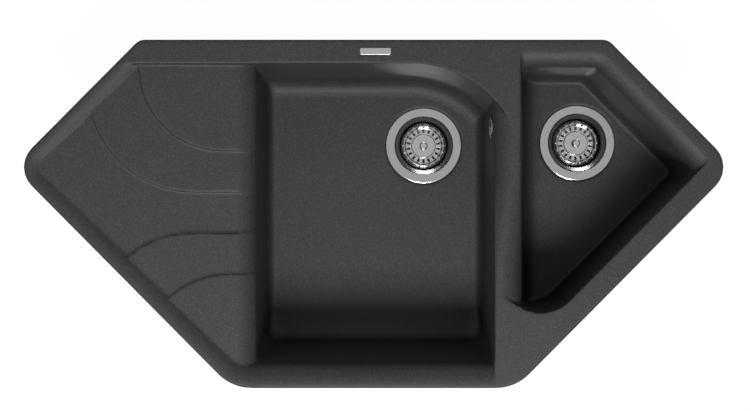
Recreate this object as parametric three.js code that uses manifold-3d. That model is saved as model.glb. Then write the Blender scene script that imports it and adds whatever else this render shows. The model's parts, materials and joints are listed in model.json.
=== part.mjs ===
// Inset corner kitchen sink in dark granite composite: a six-sided top with a drainboard on the
// left, a main bowl in the middle and a small bowl on the right, with its strainer wastes, its
// overflow and the clips that hold it under the worktop.
// Millimetres. X runs along the back edge, Y points to the corner of the room, Z points up.
// The worktop is the plane Z = 0 and the origin is the middle of the cut-out.
import * as THREE from 'three';
import { mergeVertices } from 'three/addons/utils/BufferGeometryUtils.js';
import Module from 'manifold-3d';

const wasm = await Module();
wasm.setup();

// ---------------------------------------------------------------- driving dimensions
// Outline of the top
const OVERALL_WIDTH = 1000;
const OVERALL_DEPTH = 498;
const BACK_LENGTH = 670;
const FRONT_LENGTH = 405;
const SIDE_DROP = 182;
const SIDE_RADIUS = 38.6;
const BACK_RADIUS = 19;
const FRONT_RADIUS = 67;

// Rim, deck and walls
const RIM_HEIGHT = 8;
const RIM_ROUND = 3;
const DECK_INSET = 13;
const DECK_BOTTOM = -12;
const WALL = 8;
const FLOOR_THICKNESS = WALL;
const BOWL_DEPTH = 195;
const DRAFT = 4.5;
const FLOOR_FILLET = 24;

// Main bowl, where its walls meet the plane of the rim
const MAIN_LEFT = -170.4;
const MAIN_RIGHT = 173;
const MAIN_BACK_LAND = 34;
const MAIN_FRONT_LAND = 35.6;
const MAIN_ARC_RADIUS = 165;
const MAIN_ARC_X = 52.5;
// How steep these walls are, next to the back wall
const MAIN_FRONT_SHARE = 1.35;
const MAIN_SIDE_SHARE = 0.58;

// Small bowl
const SMALL_LEFT = 210.2;
const SMALL_ROLL_LAND = 38.9;
const SMALL_DIAGONAL_LAND = 32.6;
const SMALL_ARC_RADIUS = 59.4;
const SMALL_ARC_X = 238.5;
const SMALL_WALL_SHARE = 0.36;
const SMALL_BEND_RADIUS = 52;

// Rolled edges: how far the crest lies from the outline, and the radius down to the wall
const FRONT_CREST = 5;
const FRONT_ROLL = 34;
const SMALL_CREST = 14;
const SMALL_ROLL = 27;

// Drainboard: a plane that falls towards the main bowl, with two pairs of curved steps
const DRAIN_CREST_X = -199;
const DRAIN_ROLL = 32;
const DRAIN_DEPTH = 12.6;
const DRAIN_FALL = 0.0303;
const STEP_HEIGHT = 1.8;
const STEP_RUN = 0.4;
const STEP_TAIL = 45;
// Each step runs straight from the bowl at y, then bends round its centre by sweep degrees
const STEP_LINES = {
  outerBack: { y: 90.3, centreX: -215.8, radius: 120, sweep: 88, side: 1 },
  innerBack: { y: 31.3, centreX: -255.9, radius: 153, sweep: 72, side: 1 },
  innerFront: { y: -27.3, centreX: -259.7, radius: 143, sweep: 40, side: -1 },
  outerFront: { y: -86.5, centreX: -205.1, radius: 133, sweep: 41, side: -1 },
};

// Divider between the bowls: its crest wanders from one side to the other
const DIVIDER_SWING = 10.5;
const DIVIDER_SWING_FROM = 91;
const DIVIDER_SWING_TO = -88;
const DIVIDER_STEEP = 64;
const DIVIDER_SHALLOW = 14;
const DIVIDER_FADE = 28;

// Tap ledge
const BADGE_LENGTH = 44;
const BADGE_WIDTH = 9.6;
const BADGE_THICKNESS = 0.9;
const BADGE_CORNER = 1.5;
const BADGE_X = 2.6;
const TAP_HOLE_RADIUS = 17.5;
const TAP_HOLE_X = 181;
const TAP_HOLE_BACK = 42;
const TAP_HOLE_SKIN = 8;

// Seal under the rim
const SEAL_INSET = 2.5;
const SEAL_WIDTH = 5;
const SEAL_THICKNESS = 1.8;
const SEAL_CLEARANCE = 0.3;

// Strainer wastes, one in each bowl
const MAIN_WASTE_FROM_RIGHT = 97.2;
const MAIN_WASTE_FROM_BACK = 112.3;
const SMALL_WASTE_FROM_LEFT = 97.6;
const SMALL_WASTE_FROM_BACK = 103.3;
const FLANGE_RADIUS = 57;
const FLANGE_THICKNESS = 1.6;
const FLANGE_PROUD = 0.4;
const SHEET = 1.2;
const CUP_MOUTH_RADIUS = 44;
const CUP_THROAT_RADIUS = 37.5;
const CUP_THROAT_DEPTH = 14;
const CUP_DEPTH = 36;
const CUP_DRAIN_RADIUS = 24;
const GASKET_THICKNESS = 1.5;
const SPIDER_ARMS = 3;
const SPIDER_ARM_WIDTH = 5;
const SPIDER_HUB_RADIUS = 8;
const CLAMP_SCREW_RADIUS = 3;
const CLAMP_SCREW_LENGTH = 26;
const CLAMP_HEAD_RADIUS = 6;
const CLAMP_HEAD_HEIGHT = 2.5;
const WASTE_FLANGE_RADIUS = 55;
const WASTE_WALL = 2.5;
const WASTE_DEPTH = 40;
const OUTLET_RADIUS = 23.9;
const OUTLET_WALL = 3.4;
const OUTLET_LENGTH = 32;

// Basket, its post with the knob, and the stopper under it
const BASKET_RIBS = 18;
const BASKET_RIM_RADIUS = 30.4;
const BASKET_RIB_HEIGHT = 1.8;
const BASKET_RIB_WIDTH = 1.8;
const BASKET_FOOT_RADIUS = 27.6;
const BASKET_HEIGHT = 14;
const BASKET_SLOT_FROM = 20.2;
const BASKET_SLOT_TO = 25.6;
const BASKET_SLOT_WIDTH = 3.2;
const BASKET_DISC_RADIUS = 18.5;
const BASKET_DISC_RISE = 3;
const POST_RADIUS = 3.2;
const KNOB_RADIUS = 6;
const KNOB_HEIGHT = 11;
const STOPPER_RADIUS = 29;
const STOPPER_THICKNESS = 3;
const STOPPER_LIP_WIDTH = 3;

// Overflow in the right wall of the main bowl, in front of the place where the wide arc starts
const OVERFLOW_FROM_ARC = 37.3;
const OVERFLOW_BELOW_RIM = 48;
const ROSE_RADIUS = 18.2;
const ROSE_EDGE = 1.6;
const ROSE_DOME = 2.4;
const ROSE_SLOTS = 6;
const OVERFLOW_HOLE_RADIUS = 13;
const OVERFLOW_SCREW_RADIUS = 2.2;
const OVERFLOW_HEAD_RADIUS = 3.6;
const ELBOW_RADIUS = 17;
const ELBOW_LENGTH = 17;
const ELBOW_WALL = 2.2;
// How far the pipe's socket stands behind the middle of the elbow, clear of the wall
const SOCKET_SET_BACK = 2.4;
const PIPE_RADIUS = 8;
const PIPE_WALL = 1.8;
const PIPE_BEND = 26;
const SOCKET_WALL = 2.2;
const SOCKET_LENGTH = 22;
const PIPE_ENGAGEMENT = 12;
const NUT_WALL = 2.2;
const NUT_LENGTH = 13;
const NUT_OVERLAP = 10;
const INLET_BELOW_FLOOR = 36;
const INLET_LENGTH = 26;

// Clips under the deck
const CLIP_INSET = 23.5;
const CLIP_BOSS_RADIUS = 7.5;
const CLIP_BOSS_LENGTH = 18;
const CLIP_SCREW_RADIUS = 2.5;
const CLIP_SCREW_LENGTH = 34;
const CLIP_HEAD_RADIUS = 5;
const CLIP_HEAD_HEIGHT = 3.5;
const CLIP_TRAVEL = 16;
const CLAW_WIDTH = 13;
const CLAW_REACH = 34;
const CLAW_THICKNESS = 2.5;
const CLAW_TOOTH_HEIGHT = 15;
const CLAW_NOTCH = 2.5;
// The clip in the pocket between the bowls stands this far along its edge from the front corner
const POCKET_CLIP_FROM_CORNER = 71;
// The edge that each clip stands along, its share of the way or its distance from the edge's
// start, and the side that the claw turns to
const CLAW_PLACES = [
  { edge: 'back', share: 0.86, side: 1 },
  { edge: 'leftBack', share: 0.62, side: 1 },
  { edge: 'leftFront', share: 0.3, side: 1 },
  { edge: 'leftFront', share: 0.68, side: 1 },
  { edge: 'rightFront', from: POCKET_CLIP_FROM_CORNER, side: -1 },
  { edge: 'rightBack', share: 0.42, side: 1 },
];

// Fits
const CLEARANCE = 0.3;
const MERGE = 0.2;

// ---------------------------------------------------------------- worked-out values
const RAD = Math.PI / 180;
const draftSlope = Math.tan(DRAFT * RAD);
const sideSlope = draftSlope * MAIN_SIDE_SHARE;
const sideDraft = Math.atan(sideSlope) / RAD;
const rimTop = RIM_HEIGHT;
const cutTop = rimTop + 12;
const floorZ = rimTop - BOWL_DEPTH;
const backY = OVERALL_DEPTH / 2;
const frontY = -backY;
const sideY = backY - SIDE_DROP;
const sharpHalfWidth = sharpCorner(OVERALL_WIDTH / 2);
const mainBack = backY - MAIN_BACK_LAND;
const mainFront = frontY + MAIN_FRONT_LAND;
const mainArcY = mainBack - MAIN_ARC_RADIUS;
const mainWaste = [MAIN_RIGHT - MAIN_WASTE_FROM_RIGHT, mainBack - MAIN_WASTE_FROM_BACK];
const smallWaste = [SMALL_LEFT + SMALL_WASTE_FROM_LEFT, backY - SMALL_ROLL_LAND - SMALL_WASTE_FROM_BACK];

// Where the two side edges would meet, had they no rounding, for the width over the rounding
function sharpCorner(halfWidth) {
  let sharp = halfWidth;
  for (let i = 0; i < 8; i += 1) {
    const upper = Math.atan2(SIDE_DROP, sharp - BACK_LENGTH / 2);
    const lower = Math.atan2(OVERALL_DEPTH - SIDE_DROP, sharp - FRONT_LENGTH / 2);
    const corner = (Math.PI - upper - lower) / 2;
    const lean = (upper - lower) / 2;
    sharp = halfWidth - SIDE_RADIUS + (SIDE_RADIUS * Math.cos(lean)) / Math.cos(corner);
  }
  return sharp;
}

// Corners of the outline, anticlockwise from the right, and the edges that leave them
const OUTLINE = [
  [sharpHalfWidth, sideY],
  [BACK_LENGTH / 2, backY],
  [-BACK_LENGTH / 2, backY],
  [-sharpHalfWidth, sideY],
  [-FRONT_LENGTH / 2, frontY],
  [FRONT_LENGTH / 2, frontY],
];
const OUTLINE_RADII = [SIDE_RADIUS, BACK_RADIUS, BACK_RADIUS, SIDE_RADIUS, FRONT_RADIUS, FRONT_RADIUS];
const EDGES = ['rightBack', 'back', 'leftBack', 'leftFront', 'front', 'rightFront'];

// ---------------------------------------------------------------- plane geometry
function edgeLine(edge, inset) {
  const start = EDGES.indexOf(edge);
  const [ax, ay] = OUTLINE[start];
  const [bx, by] = OUTLINE[(start + 1) % OUTLINE.length];
  const length = Math.hypot(bx - ax, by - ay);
  const direction = [(bx - ax) / length, (by - ay) / length];
  const inward = [-direction[1], direction[0]];
  return {
    point: [ax + inward[0] * inset, ay + inward[1] * inset],
    direction,
    inward,
    length,
  };
}

function crossing(first, second) {
  const [px, py] = first.point;
  const [dx, dy] = first.direction;
  const [qx, qy] = second.point;
  const [ex, ey] = second.direction;
  const t = ((qx - px) * ey - (qy - py) * ex) / (dx * ey - dy * ex);
  return [px + dx * t, py + dy * t];
}

// A closed ring of straight lines, each corner rounded by its own radius
function roundedRing(lines, radii, steps) {
  const corners = lines.map((line, i) => crossing(lines[(i + lines.length - 1) % lines.length], line));
  return corners.flatMap((corner, i) => {
    const before = lines[(i + lines.length - 1) % lines.length].direction;
    const after = lines[i].direction;
    const cross = before[0] * after[1] - before[1] * after[0];
    const turn = Math.atan2(cross, before[0] * after[0] + before[1] * after[1]);
    const tangent = radii[i] * Math.tan(turn / 2);
    const start = [corner[0] - before[0] * tangent, corner[1] - before[1] * tangent];
    const centre = [start[0] - before[1] * radii[i], start[1] + before[0] * radii[i]];
    const from = Math.atan2(start[1] - centre[1], start[0] - centre[0]);
    return arc(centre, radii[i], from, from + turn, steps);
  });
}

function arc([cx, cy], radius, from, to, steps) {
  return Array.from({ length: steps + 1 }, (_, i) => {
    const angle = from + ((to - from) * i) / steps;
    return [cx + radius * Math.cos(angle), cy + radius * Math.sin(angle)];
  });
}

const CORNER_STEPS = 6;

function outlineRing(inset) {
  const lines = EDGES.map((edge) => edgeLine(edge, inset));
  const radii = OUTLINE_RADII.map((radius) => Math.max(radius - inset, 1));
  return roundedRing(lines, radii, CORNER_STEPS);
}

// ---------------------------------------------------------------- solids
function solidFrom(positions, triangles) {
  let volume = 0;
  const point = (i) => [positions[3 * i], positions[3 * i + 1], positions[3 * i + 2]];
  for (let t = 0; t < triangles.length; t += 3) {
    const [a, b, c] = [point(triangles[t]), point(triangles[t + 1]), point(triangles[t + 2])];
    volume += a[0] * (b[1] * c[2] - b[2] * c[1]);
    volume += a[1] * (b[2] * c[0] - b[0] * c[2]);
    volume += a[2] * (b[0] * c[1] - b[1] * c[0]);
  }
  if (volume < 0) triangles.reverse();
  return new wasm.Manifold(new wasm.Mesh({
    numProp: 3,
    vertProperties: Float32Array.from(positions),
    triVerts: Uint32Array.from(triangles),
  }));
}

function signedArea(ring) {
  return ring.reduce((sum, [x, y], i) => {
    const [nextX, nextY] = ring[(i + 1) % ring.length];
    return sum + (x * nextY - nextX * y) / 2;
  }, 0);
}

// Skin over rings of equal point counts. place(u, v, ring) puts a point of a ring in space.
function skin(drawn, place) {
  const rings = signedArea(drawn[0]) < 0 ? drawn.map((ring) => [...ring].reverse()) : drawn;
  const count = rings[0].length;
  const positions = rings.flatMap((ring, r) => ring.flatMap(([u, v]) => place(u, v, r)));
  const triangles = [];
  for (let r = 0; r + 1 < rings.length; r += 1) {
    for (let i = 0; i < count; i += 1) {
      const j = (i + 1) % count;
      const [a, b, c, d] = [r * count + i, r * count + j, (r + 1) * count + i, (r + 1) * count + j];
      triangles.push(a, b, d, a, d, c);
    }
  }
  for (const [r, flip] of [[0, true], [rings.length - 1, false]]) {
    for (const face of wasm.triangulate([rings[r]])) {
      const [a, b, c] = face.map((i) => r * count + i);
      triangles.push(...(flip ? [c, b, a] : [a, b, c]));
    }
  }
  return solidFrom(positions, triangles);
}

// Rings stacked along Z
function stack(levels) {
  return skin(levels.map((level) => level.ring), (x, y, r) => [x, y, levels[r].z]);
}

// Sections drawn in X and Z, spaced along Y
function alongY(sections) {
  return skin(sections.map((section) => section.ring), (x, z, r) => [x, sections[r].y, z]);
}

function extrude(ring, from, to) {
  return stack([{ z: from, ring }, { z: to, ring }]);
}

function box(x0, x1, y0, y1, z0, z1) {
  return extrude([[x0, y0], [x1, y0], [x1, y1], [x0, y1]], z0, z1);
}

// A profile of [radius, height] points turned about the Z axis
function turned(profile, segments = 36) {
  const points = profile.map(([radius, height]) => new THREE.Vector2(radius, height));
  const lathe = new THREE.LatheGeometry(points, segments);
  lathe.rotateX(Math.PI / 2);
  return solidFromGeometry(lathe);
}

function solidFromGeometry(geometry) {
  geometry.deleteAttribute('normal');
  geometry.deleteAttribute('uv');
  const merged = mergeVertices(geometry, 1e-4);
  const triangles = [];
  const index = merged.index.array;
  for (let t = 0; t < index.length; t += 3) {
    const [a, b, c] = [index[t], index[t + 1], index[t + 2]];
    if (a !== b && b !== c && c !== a) triangles.push(a, b, c);
  }
  return solidFrom(Array.from(merged.attributes.position.array), triangles);
}

// A closed tube profile about the Z axis
function sleeve(inner, outer, from, to, segments = 36) {
  return turned([[inner, from], [outer, from], [outer, to], [inner, to], [inner, from]], segments);
}

function rod(radius, from, to, segments = 36) {
  return turned([[0, from], [radius, from], [radius, to], [0, to]], segments);
}

function union(solids) {
  return solids.reduce((whole, next) => whole.add(next));
}

function aboutZ(solid, count) {
  return union(Array.from({ length: count }, (_, i) => solid.rotate([0, 0, (360 * i) / count])));
}

// ---------------------------------------------------------------- materials
const granite = { color: 0x2f2f31, roughness: 0.55, metalness: 0 };
const steel = { color: 0xb9bcc0, roughness: 0.28, metalness: 1 };
const zinc = { color: 0x9fa3a6, roughness: 0.45, metalness: 1 };
const plastic = { color: 0x1c1d1f, roughness: 0.5, metalness: 0 };
const rubber = { color: 0x151515, roughness: 0.85, metalness: 0 };
const foam = { color: 0x3a3a3a, roughness: 0.95, metalness: 0 };

const sink = new THREE.Group();

function addPiece(name, solid, finish, parent = sink) {
  const mesh = solid.getMesh();
  const geometry = new THREE.BufferGeometry();
  geometry.setAttribute('position', new THREE.BufferAttribute(Float32Array.from(mesh.vertProperties), 3));
  geometry.setIndex(new THREE.BufferAttribute(Uint32Array.from(mesh.triVerts), 1));
  geometry.computeVertexNormals();
  const piece = new THREE.Mesh(geometry, new THREE.MeshStandardMaterial(finish));
  piece.name = name;
  parent.add(piece);
  return piece;
}

// ---------------------------------------------------------------- the bowls
const FILLET_STEPS = 5;

// How far the wall has come in at each level, down the draft and round the floor fillet, and
// how far outside that the outer face of a wall of this thickness lies
function wallLevels(thickness) {
  const centreDepth = BOWL_DEPTH - FLOOR_FILLET;
  const centreInset = draftSlope * centreDepth + FLOOR_FILLET;
  return Array.from({ length: FILLET_STEPS + 1 }, (_, i) => {
    const angle = (90 * RAD * i) / FILLET_STEPS;
    return {
      depth: centreDepth + (FLOOR_FILLET + thickness) * Math.sin(angle),
      inset: centreInset - FLOOR_FILLET * Math.cos(angle),
      outward: thickness * Math.cos(angle),
      share: i / FILLET_STEPS,
    };
  });
}

// Plan of the main bowl: four corners, and the wide arc at the back right
function mainBowlRing(inset, outward, tight, wide) {
  const left = MAIN_LEFT + inset * MAIN_SIDE_SHARE - outward;
  const right = MAIN_RIGHT - inset * MAIN_SIDE_SHARE + outward;
  const back = mainBack - inset + outward;
  const front = mainFront + inset * MAIN_FRONT_SHARE - outward;
  const radius = MAIN_ARC_RADIUS - inset + outward;
  const endX = right - tight;
  const endY = mainArcY + Math.sqrt((radius - tight) ** 2 - (endX - MAIN_ARC_X) ** 2);
  const meet = Math.atan2(endY - mainArcY, endX - MAIN_ARC_X);
  return [
    ...arc([right - wide, front + wide], wide, -90 * RAD, 0, CORNER_STEPS),
    ...arc([endX, endY], tight, 0, meet, 2),
    ...arc([MAIN_ARC_X, mainArcY], radius, meet, 90 * RAD, 14).slice(1),
    ...arc([left + tight, back - tight], tight, 90 * RAD, 180 * RAD, 3),
    ...arc([left + wide, front + wide], wide, 180 * RAD, 270 * RAD, CORNER_STEPS),
  ];
}

const smallLines = (leftInset, wallInset) => ({
  left: { point: [SMALL_LEFT + leftInset, 0], direction: [0, -1] },
  diagonal: edgeLine('rightFront', SMALL_DIAGONAL_LAND + wallInset),
  rightBack: edgeLine('rightBack', SMALL_ROLL_LAND + wallInset),
  back: edgeLine('back', SMALL_ROLL_LAND + wallInset),
});
const smallArcCentre = crossing(
  { point: [SMALL_ARC_X, 0], direction: [0, 1] },
  edgeLine('rightFront', SMALL_DIAGONAL_LAND + SMALL_ARC_RADIUS),
);

// Plan of the small bowl: left, back and two slanting walls, with the arc at its foot
function smallBowlRing(inset, outward, tight, corner, bend) {
  const wallInset = inset * SMALL_WALL_SHARE - outward;
  const { left, diagonal, rightBack, back } = smallLines(inset - outward, wallInset);
  const leftX = left.point[0];
  const radius = SMALL_ARC_RADIUS - wallInset;
  const endX = leftX + tight;
  const drop = Math.sqrt((radius - tight) ** 2 - (endX - smallArcCentre[0]) ** 2);
  const endY = smallArcCentre[1] - drop;
  const meet = Math.atan2(-drop, endX - smallArcCentre[0]);
  const diagonalAngle = Math.atan2(-diagonal.inward[1], -diagonal.inward[0]);
  const upper = roundedRing([back, left, diagonal, rightBack], [bend, tight, 1, corner], 4);
  const [bendArc, backLeft, , rightArc] = [0, 1, 2, 3].map((i) => upper.slice(5 * i, 5 * i + 5));
  return [
    ...rightArc,
    ...bendArc,
    ...backLeft,
    ...arc([endX, endY], tight, 180 * RAD, 360 * RAD + meet, 2),
    ...arc(smallArcCentre, radius, meet, diagonalAngle, 8).slice(1),
  ];
}

// A bowl cut from above the rim down to its floor
function bowlCavity(ringAt) {
  const levels = wallLevels(0).map(({ depth, inset, share }) => (
    { z: rimTop - depth, ring: ringAt(inset, 0, share) }
  ));
  const mouth = ringAt(0, 0, -1);
  return stack([{ z: cutTop, ring: mouth }, { z: rimTop, ring: mouth }, ...levels].reverse());
}

// The same bowl's outer shell, a wall's thickness outside it
function bowlShell(ringAt) {
  const levels = wallLevels(WALL).map(({ depth, inset, outward, share }) => (
    { z: rimTop - depth, ring: ringAt(inset, outward, share) }
  ));
  const topInset = draftSlope * (rimTop - DECK_BOTTOM);
  return stack([{ z: DECK_BOTTOM + MERGE, ring: ringAt(topInset, WALL, -1) }, ...levels].reverse());
}

// Corner radii grow from the top of the wall (share -1) to the floor (share 1)
const mainRingAt = (inset, outward, share) => (share < 0
  ? mainBowlRing(inset, outward, 2, 3)
  : mainBowlRing(inset, outward, 7 + 5 * share, 18 + 6 * share));
const smallRingAt = (inset, outward, share) => (share < 0
  ? smallBowlRing(inset, outward, 2, 16, SMALL_BEND_RADIUS - SMALL_ROLL_LAND)
  : smallBowlRing(inset, outward, 4, 16 - 4 * share, SMALL_BEND_RADIUS - SMALL_ROLL_LAND + 3 * share));

// ---------------------------------------------------------------- rolled edges
const ROLL_STEPS = 9;
const rollAngles = Array.from({ length: ROLL_STEPS + 1 }, (_, i) => (90 * RAD * i) / ROLL_STEPS);

// Sunken field of the drainboard and main bowl: it rolls down from the crest on the slanting
// edges and the front, and drops sharply from the tap ledge and the land right of the bowl
function sunkenField() {
  const sharp = (depth) => MERGE + draftSlope * depth;
  const ringAt = (crestInset, depth) => roundedRing(
    [
      { point: [MAIN_RIGHT - sharp(depth), 0], direction: [0, 1] },
      edgeLine('back', MAIN_BACK_LAND + sharp(depth)),
      edgeLine('leftBack', crestInset),
      edgeLine('leftFront', crestInset),
      edgeLine('front', crestInset),
    ],
    [1, 1, 4, Math.max(SIDE_RADIUS - crestInset, 3), FRONT_RADIUS - crestInset],
    CORNER_STEPS,
  );
  const rolled = rollAngles.map((angle) => {
    const depth = FRONT_ROLL * (1 - Math.cos(angle));
    return { z: rimTop - depth, ring: ringAt(FRONT_CREST + FRONT_ROLL * Math.sin(angle), depth) };
  });
  const end = FRONT_CREST + FRONT_ROLL + 2;
  const foot = { z: drainRollEnd - 1, ring: ringAt(end, rimTop - drainRollEnd + 1) };
  return stack([{ z: cutTop, ring: ringAt(FRONT_CREST, 0) }, ...rolled, foot].reverse());
}

// Air above the drainboard: a falling plane, then a round edge down into the main bowl.
// A raised step has the same centre and a larger radius.
const drainCrestZ = rimTop - DRAIN_DEPTH;
const drainRollEnd = drainCrestZ - DRAIN_ROLL;
function airAboveDrain(rise) {
  const farLeft = -sharpHalfWidth - 20;
  const radius = DRAIN_ROLL + rise;
  const plane = (x) => drainCrestZ + rise + DRAIN_FALL * (DRAIN_CREST_X - x);
  const edge = rollAngles.map((angle) => [
    DRAIN_CREST_X + radius * Math.sin(angle),
    drainRollEnd + radius * Math.cos(angle),
  ]);
  const ring = [
    [farLeft, cutTop + 1],
    [farLeft, plane(farLeft)],
    ...edge,
    [MAIN_RIGHT, drainRollEnd],
    [MAIN_RIGHT, cutTop + 1],
  ];
  return alongY([{ y: frontY, ring }, { y: backY, ring }]);
}

// Backs the round edge of the drainboard from below, from the deck to the bowl's left wall
function drainEdgeBacking() {
  const radius = DRAIN_ROLL - WALL;
  const under = rollAngles.map((angle) => [
    DRAIN_CREST_X + radius * Math.sin(angle),
    drainRollEnd + radius * Math.cos(angle),
  ]);
  const inner = MAIN_LEFT + 2;
  const top = DECK_BOTTOM + MERGE;
  const ring = [[DRAIN_CREST_X - WALL, top], ...under, [inner, drainRollEnd - WALL], [inner, top]];
  const overlap = WALL - 3;
  return alongY([{ y: mainFront - overlap, ring }, { y: mainBack + overlap, ring }]);
}

// The curved steps: a straight run from the bowl, an arc, and a tail past the outline.
// outward moves the line away from the middle of the drainboard.
function stepLine({ y: innerY, centreX, radius: innerRadius, sweep, side }, outward) {
  const y = innerY + side * outward;
  const radius = innerRadius - outward;
  const centre = [centreX, y + side * radius];
  const from = -side * 90 * RAD;
  const to = from - side * sweep * RAD;
  const curve = arc(centre, radius, from, to, 10);
  const tangent = [side * Math.sin(to), -side * Math.cos(to)];
  const last = curve[curve.length - 1];
  const tail = [last[0] + tangent[0] * STEP_TAIL, last[1] + tangent[1] * STEP_TAIL];
  return [[MAIN_RIGHT + 10, y], ...curve, tail];
}

// Air between two steps. Each riser slopes outwards from riserFoot, which is measured from the
// lowest part of the falling plane, so the air is made level and then sheared to that fall.
function bandBetween(backLine, frontLine, riserFoot) {
  const farLeft = -sharpHalfWidth - 30;
  const ringAt = (outward) => {
    const back = stepLine(backLine, outward);
    const front = stepLine(frontLine, outward).reverse();
    return [...back, [farLeft, back[back.length - 1][1]], [farLeft, front[0][1]], ...front];
  };
  const foot = drainCrestZ + riserFoot;
  const level = stack([
    { z: drainRollEnd - 30, ring: ringAt(0) },
    { z: foot, ring: ringAt(0) },
    { z: foot + STEP_HEIGHT, ring: ringAt(STEP_RUN) },
    { z: cutTop + 30, ring: ringAt(STEP_RUN) },
  ]);
  const shear = [1, 0, -DRAIN_FALL, 0, 0, 1, 0, 0, 0, 0, 1, 0, 0, 0, DRAIN_FALL * DRAIN_CREST_X, 1];
  return level.transform(shear);
}

function drainField() {
  const { outerBack, innerBack, innerFront, outerFront } = STEP_LINES;
  const lowest = airAboveDrain(0).intersect(bandBetween(innerBack, innerFront, 0));
  const middle = airAboveDrain(STEP_HEIGHT).intersect(bandBetween(outerBack, outerFront, STEP_HEIGHT));
  return union([airAboveDrain(2 * STEP_HEIGHT), middle, lowest])
    .intersect(sunkenField())
    .intersect(insideMainArc());
}

// Keeps the sunken field out of the ledge's corner behind the main bowl's arc
function insideMainArc() {
  const radius = MAIN_ARC_RADIUS - MERGE - draftSlope * (DRAIN_DEPTH + DRAIN_ROLL);
  const meet = Math.acos((MAIN_RIGHT - MAIN_ARC_X) / radius);
  const curve = arc([MAIN_ARC_X, mainArcY], radius, meet, 90 * RAD, 10);
  const ring = [
    [-OVERALL_WIDTH, frontY],
    [MAIN_RIGHT, frontY],
    ...curve,
    [MAIN_ARC_X, OVERALL_DEPTH],
    [-OVERALL_WIDTH, OVERALL_DEPTH],
  ];
  return extrude(ring, floorZ, cutTop + 1);
}

// Rolled back and right edges of the small bowl
function smallBowlRoll() {
  const leftInset = (depth) => MERGE + draftSlope * depth;
  const diagonalInset = (depth) => MERGE + draftSlope * SMALL_WALL_SHARE * depth;
  const ringAt = (crestInset, depth, corner) => roundedRing(
    [
      edgeLine('rightBack', crestInset),
      edgeLine('back', crestInset),
      { point: [SMALL_LEFT + leftInset(depth), 0], direction: [0, -1] },
      { point: [0, smallArcCentre[1] + 20], direction: [1, 0] },
      edgeLine('rightFront', SMALL_DIAGONAL_LAND + diagonalInset(depth)),
    ],
    [corner, SMALL_BEND_RADIUS - crestInset, 2, 1, 1],
    CORNER_STEPS,
  );
  const rolled = rollAngles.map((angle, i) => {
    const depth = SMALL_ROLL * (1 - Math.cos(angle));
    const corner = 3 + (13 * i) / ROLL_STEPS;
    return { z: rimTop - depth, ring: ringAt(SMALL_CREST + SMALL_ROLL * Math.sin(angle), depth, corner) };
  });
  const footDepth = SMALL_ROLL + 1;
  const foot = { z: rimTop - footDepth, ring: ringAt(SMALL_CREST + footDepth, footDepth, 16) };
  return stack([{ z: cutTop, ring: ringAt(SMALL_CREST, 0, 3) }, ...rolled, foot].reverse());
}

// ---------------------------------------------------------------- divider between the bowls
const dividerMiddle = (MAIN_RIGHT + SMALL_LEFT) / 2;
const DIVIDER_STATIONS = 9;

function dividerShare(y) {
  const t = (DIVIDER_SWING_FROM - y) / (DIVIDER_SWING_FROM - DIVIDER_SWING_TO);
  const held = Math.min(Math.max(t, 0), 1);
  return held * held * (3 - 2 * held);
}

// One side of the crown: a round that starts flat at the crest and steepens to the wall.
// side -1 falls to the main bowl, side 1 to the small bowl.
function dividerSection(y, side, steepness) {
  const share = dividerShare(y);
  const crestX = dividerMiddle + DIVIDER_SWING * (1 - 2 * share);
  const edgeX = side < 0 ? MAIN_RIGHT : SMALL_LEFT;
  const towards = side < 0 ? 1 - share : share;
  const slope = (DIVIDER_SHALLOW + (DIVIDER_STEEP - DIVIDER_SHALLOW) * towards) * steepness * RAD;
  const width = Math.abs(edgeX - crestX);
  const radius = width / Math.sin(slope);
  const curve = Array.from({ length: ROLL_STEPS + 1 }, (_, i) => {
    const angle = (slope * i) / ROLL_STEPS;
    return [crestX + side * radius * Math.sin(angle), rimTop - radius * (1 - Math.cos(angle))];
  });
  const edge = curve[curve.length - 1];
  const beyond = [edge[0] + side * WALL, edge[1] - WALL * Math.tan(slope)];
  return { y, ring: [...curve, beyond, [beyond[0], cutTop], [crestX, cutTop]] };
}

function dividerRoll(side) {
  const swing = Array.from({ length: DIVIDER_STATIONS }, (_, i) => (
    DIVIDER_SWING_FROM + ((DIVIDER_SWING_TO - DIVIDER_SWING_FROM) * i) / (DIVIDER_STATIONS - 1)
  ));
  const sections = swing.map((y) => dividerSection(y, side, 1));
  const faded = 0.1;
  const ends = side < 0
    ? [[mainBack, 1], [DIVIDER_SWING_TO - DIVIDER_FADE, faded]]
    : [[DIVIDER_SWING_FROM + DIVIDER_FADE, faded], [DIVIDER_SWING_TO - 2 * DIVIDER_FADE, 1]];
  const [backEnd, frontEnd] = ends.map(([y, steepness]) => dividerSection(y, side, steepness));
  return alongY([backEnd, ...sections, frontEnd]);
}

// The main bowl's arc runs on across the divider as a fading step
function behindMainArc() {
  const reach = MAIN_ARC_X + MAIN_ARC_RADIUS;
  const sweep = arc([MAIN_ARC_X, mainArcY], MAIN_ARC_RADIUS - MERGE, 0, 60 * RAD, 12);
  const ring = [
    [MAIN_ARC_X, DIVIDER_SWING_TO * 2],
    [reach, DIVIDER_SWING_TO * 2],
    ...sweep,
    [MAIN_ARC_X, mainBack - MAIN_ARC_RADIUS / 4],
  ];
  return extrude(ring, floorZ, cutTop + 1);
}

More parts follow.
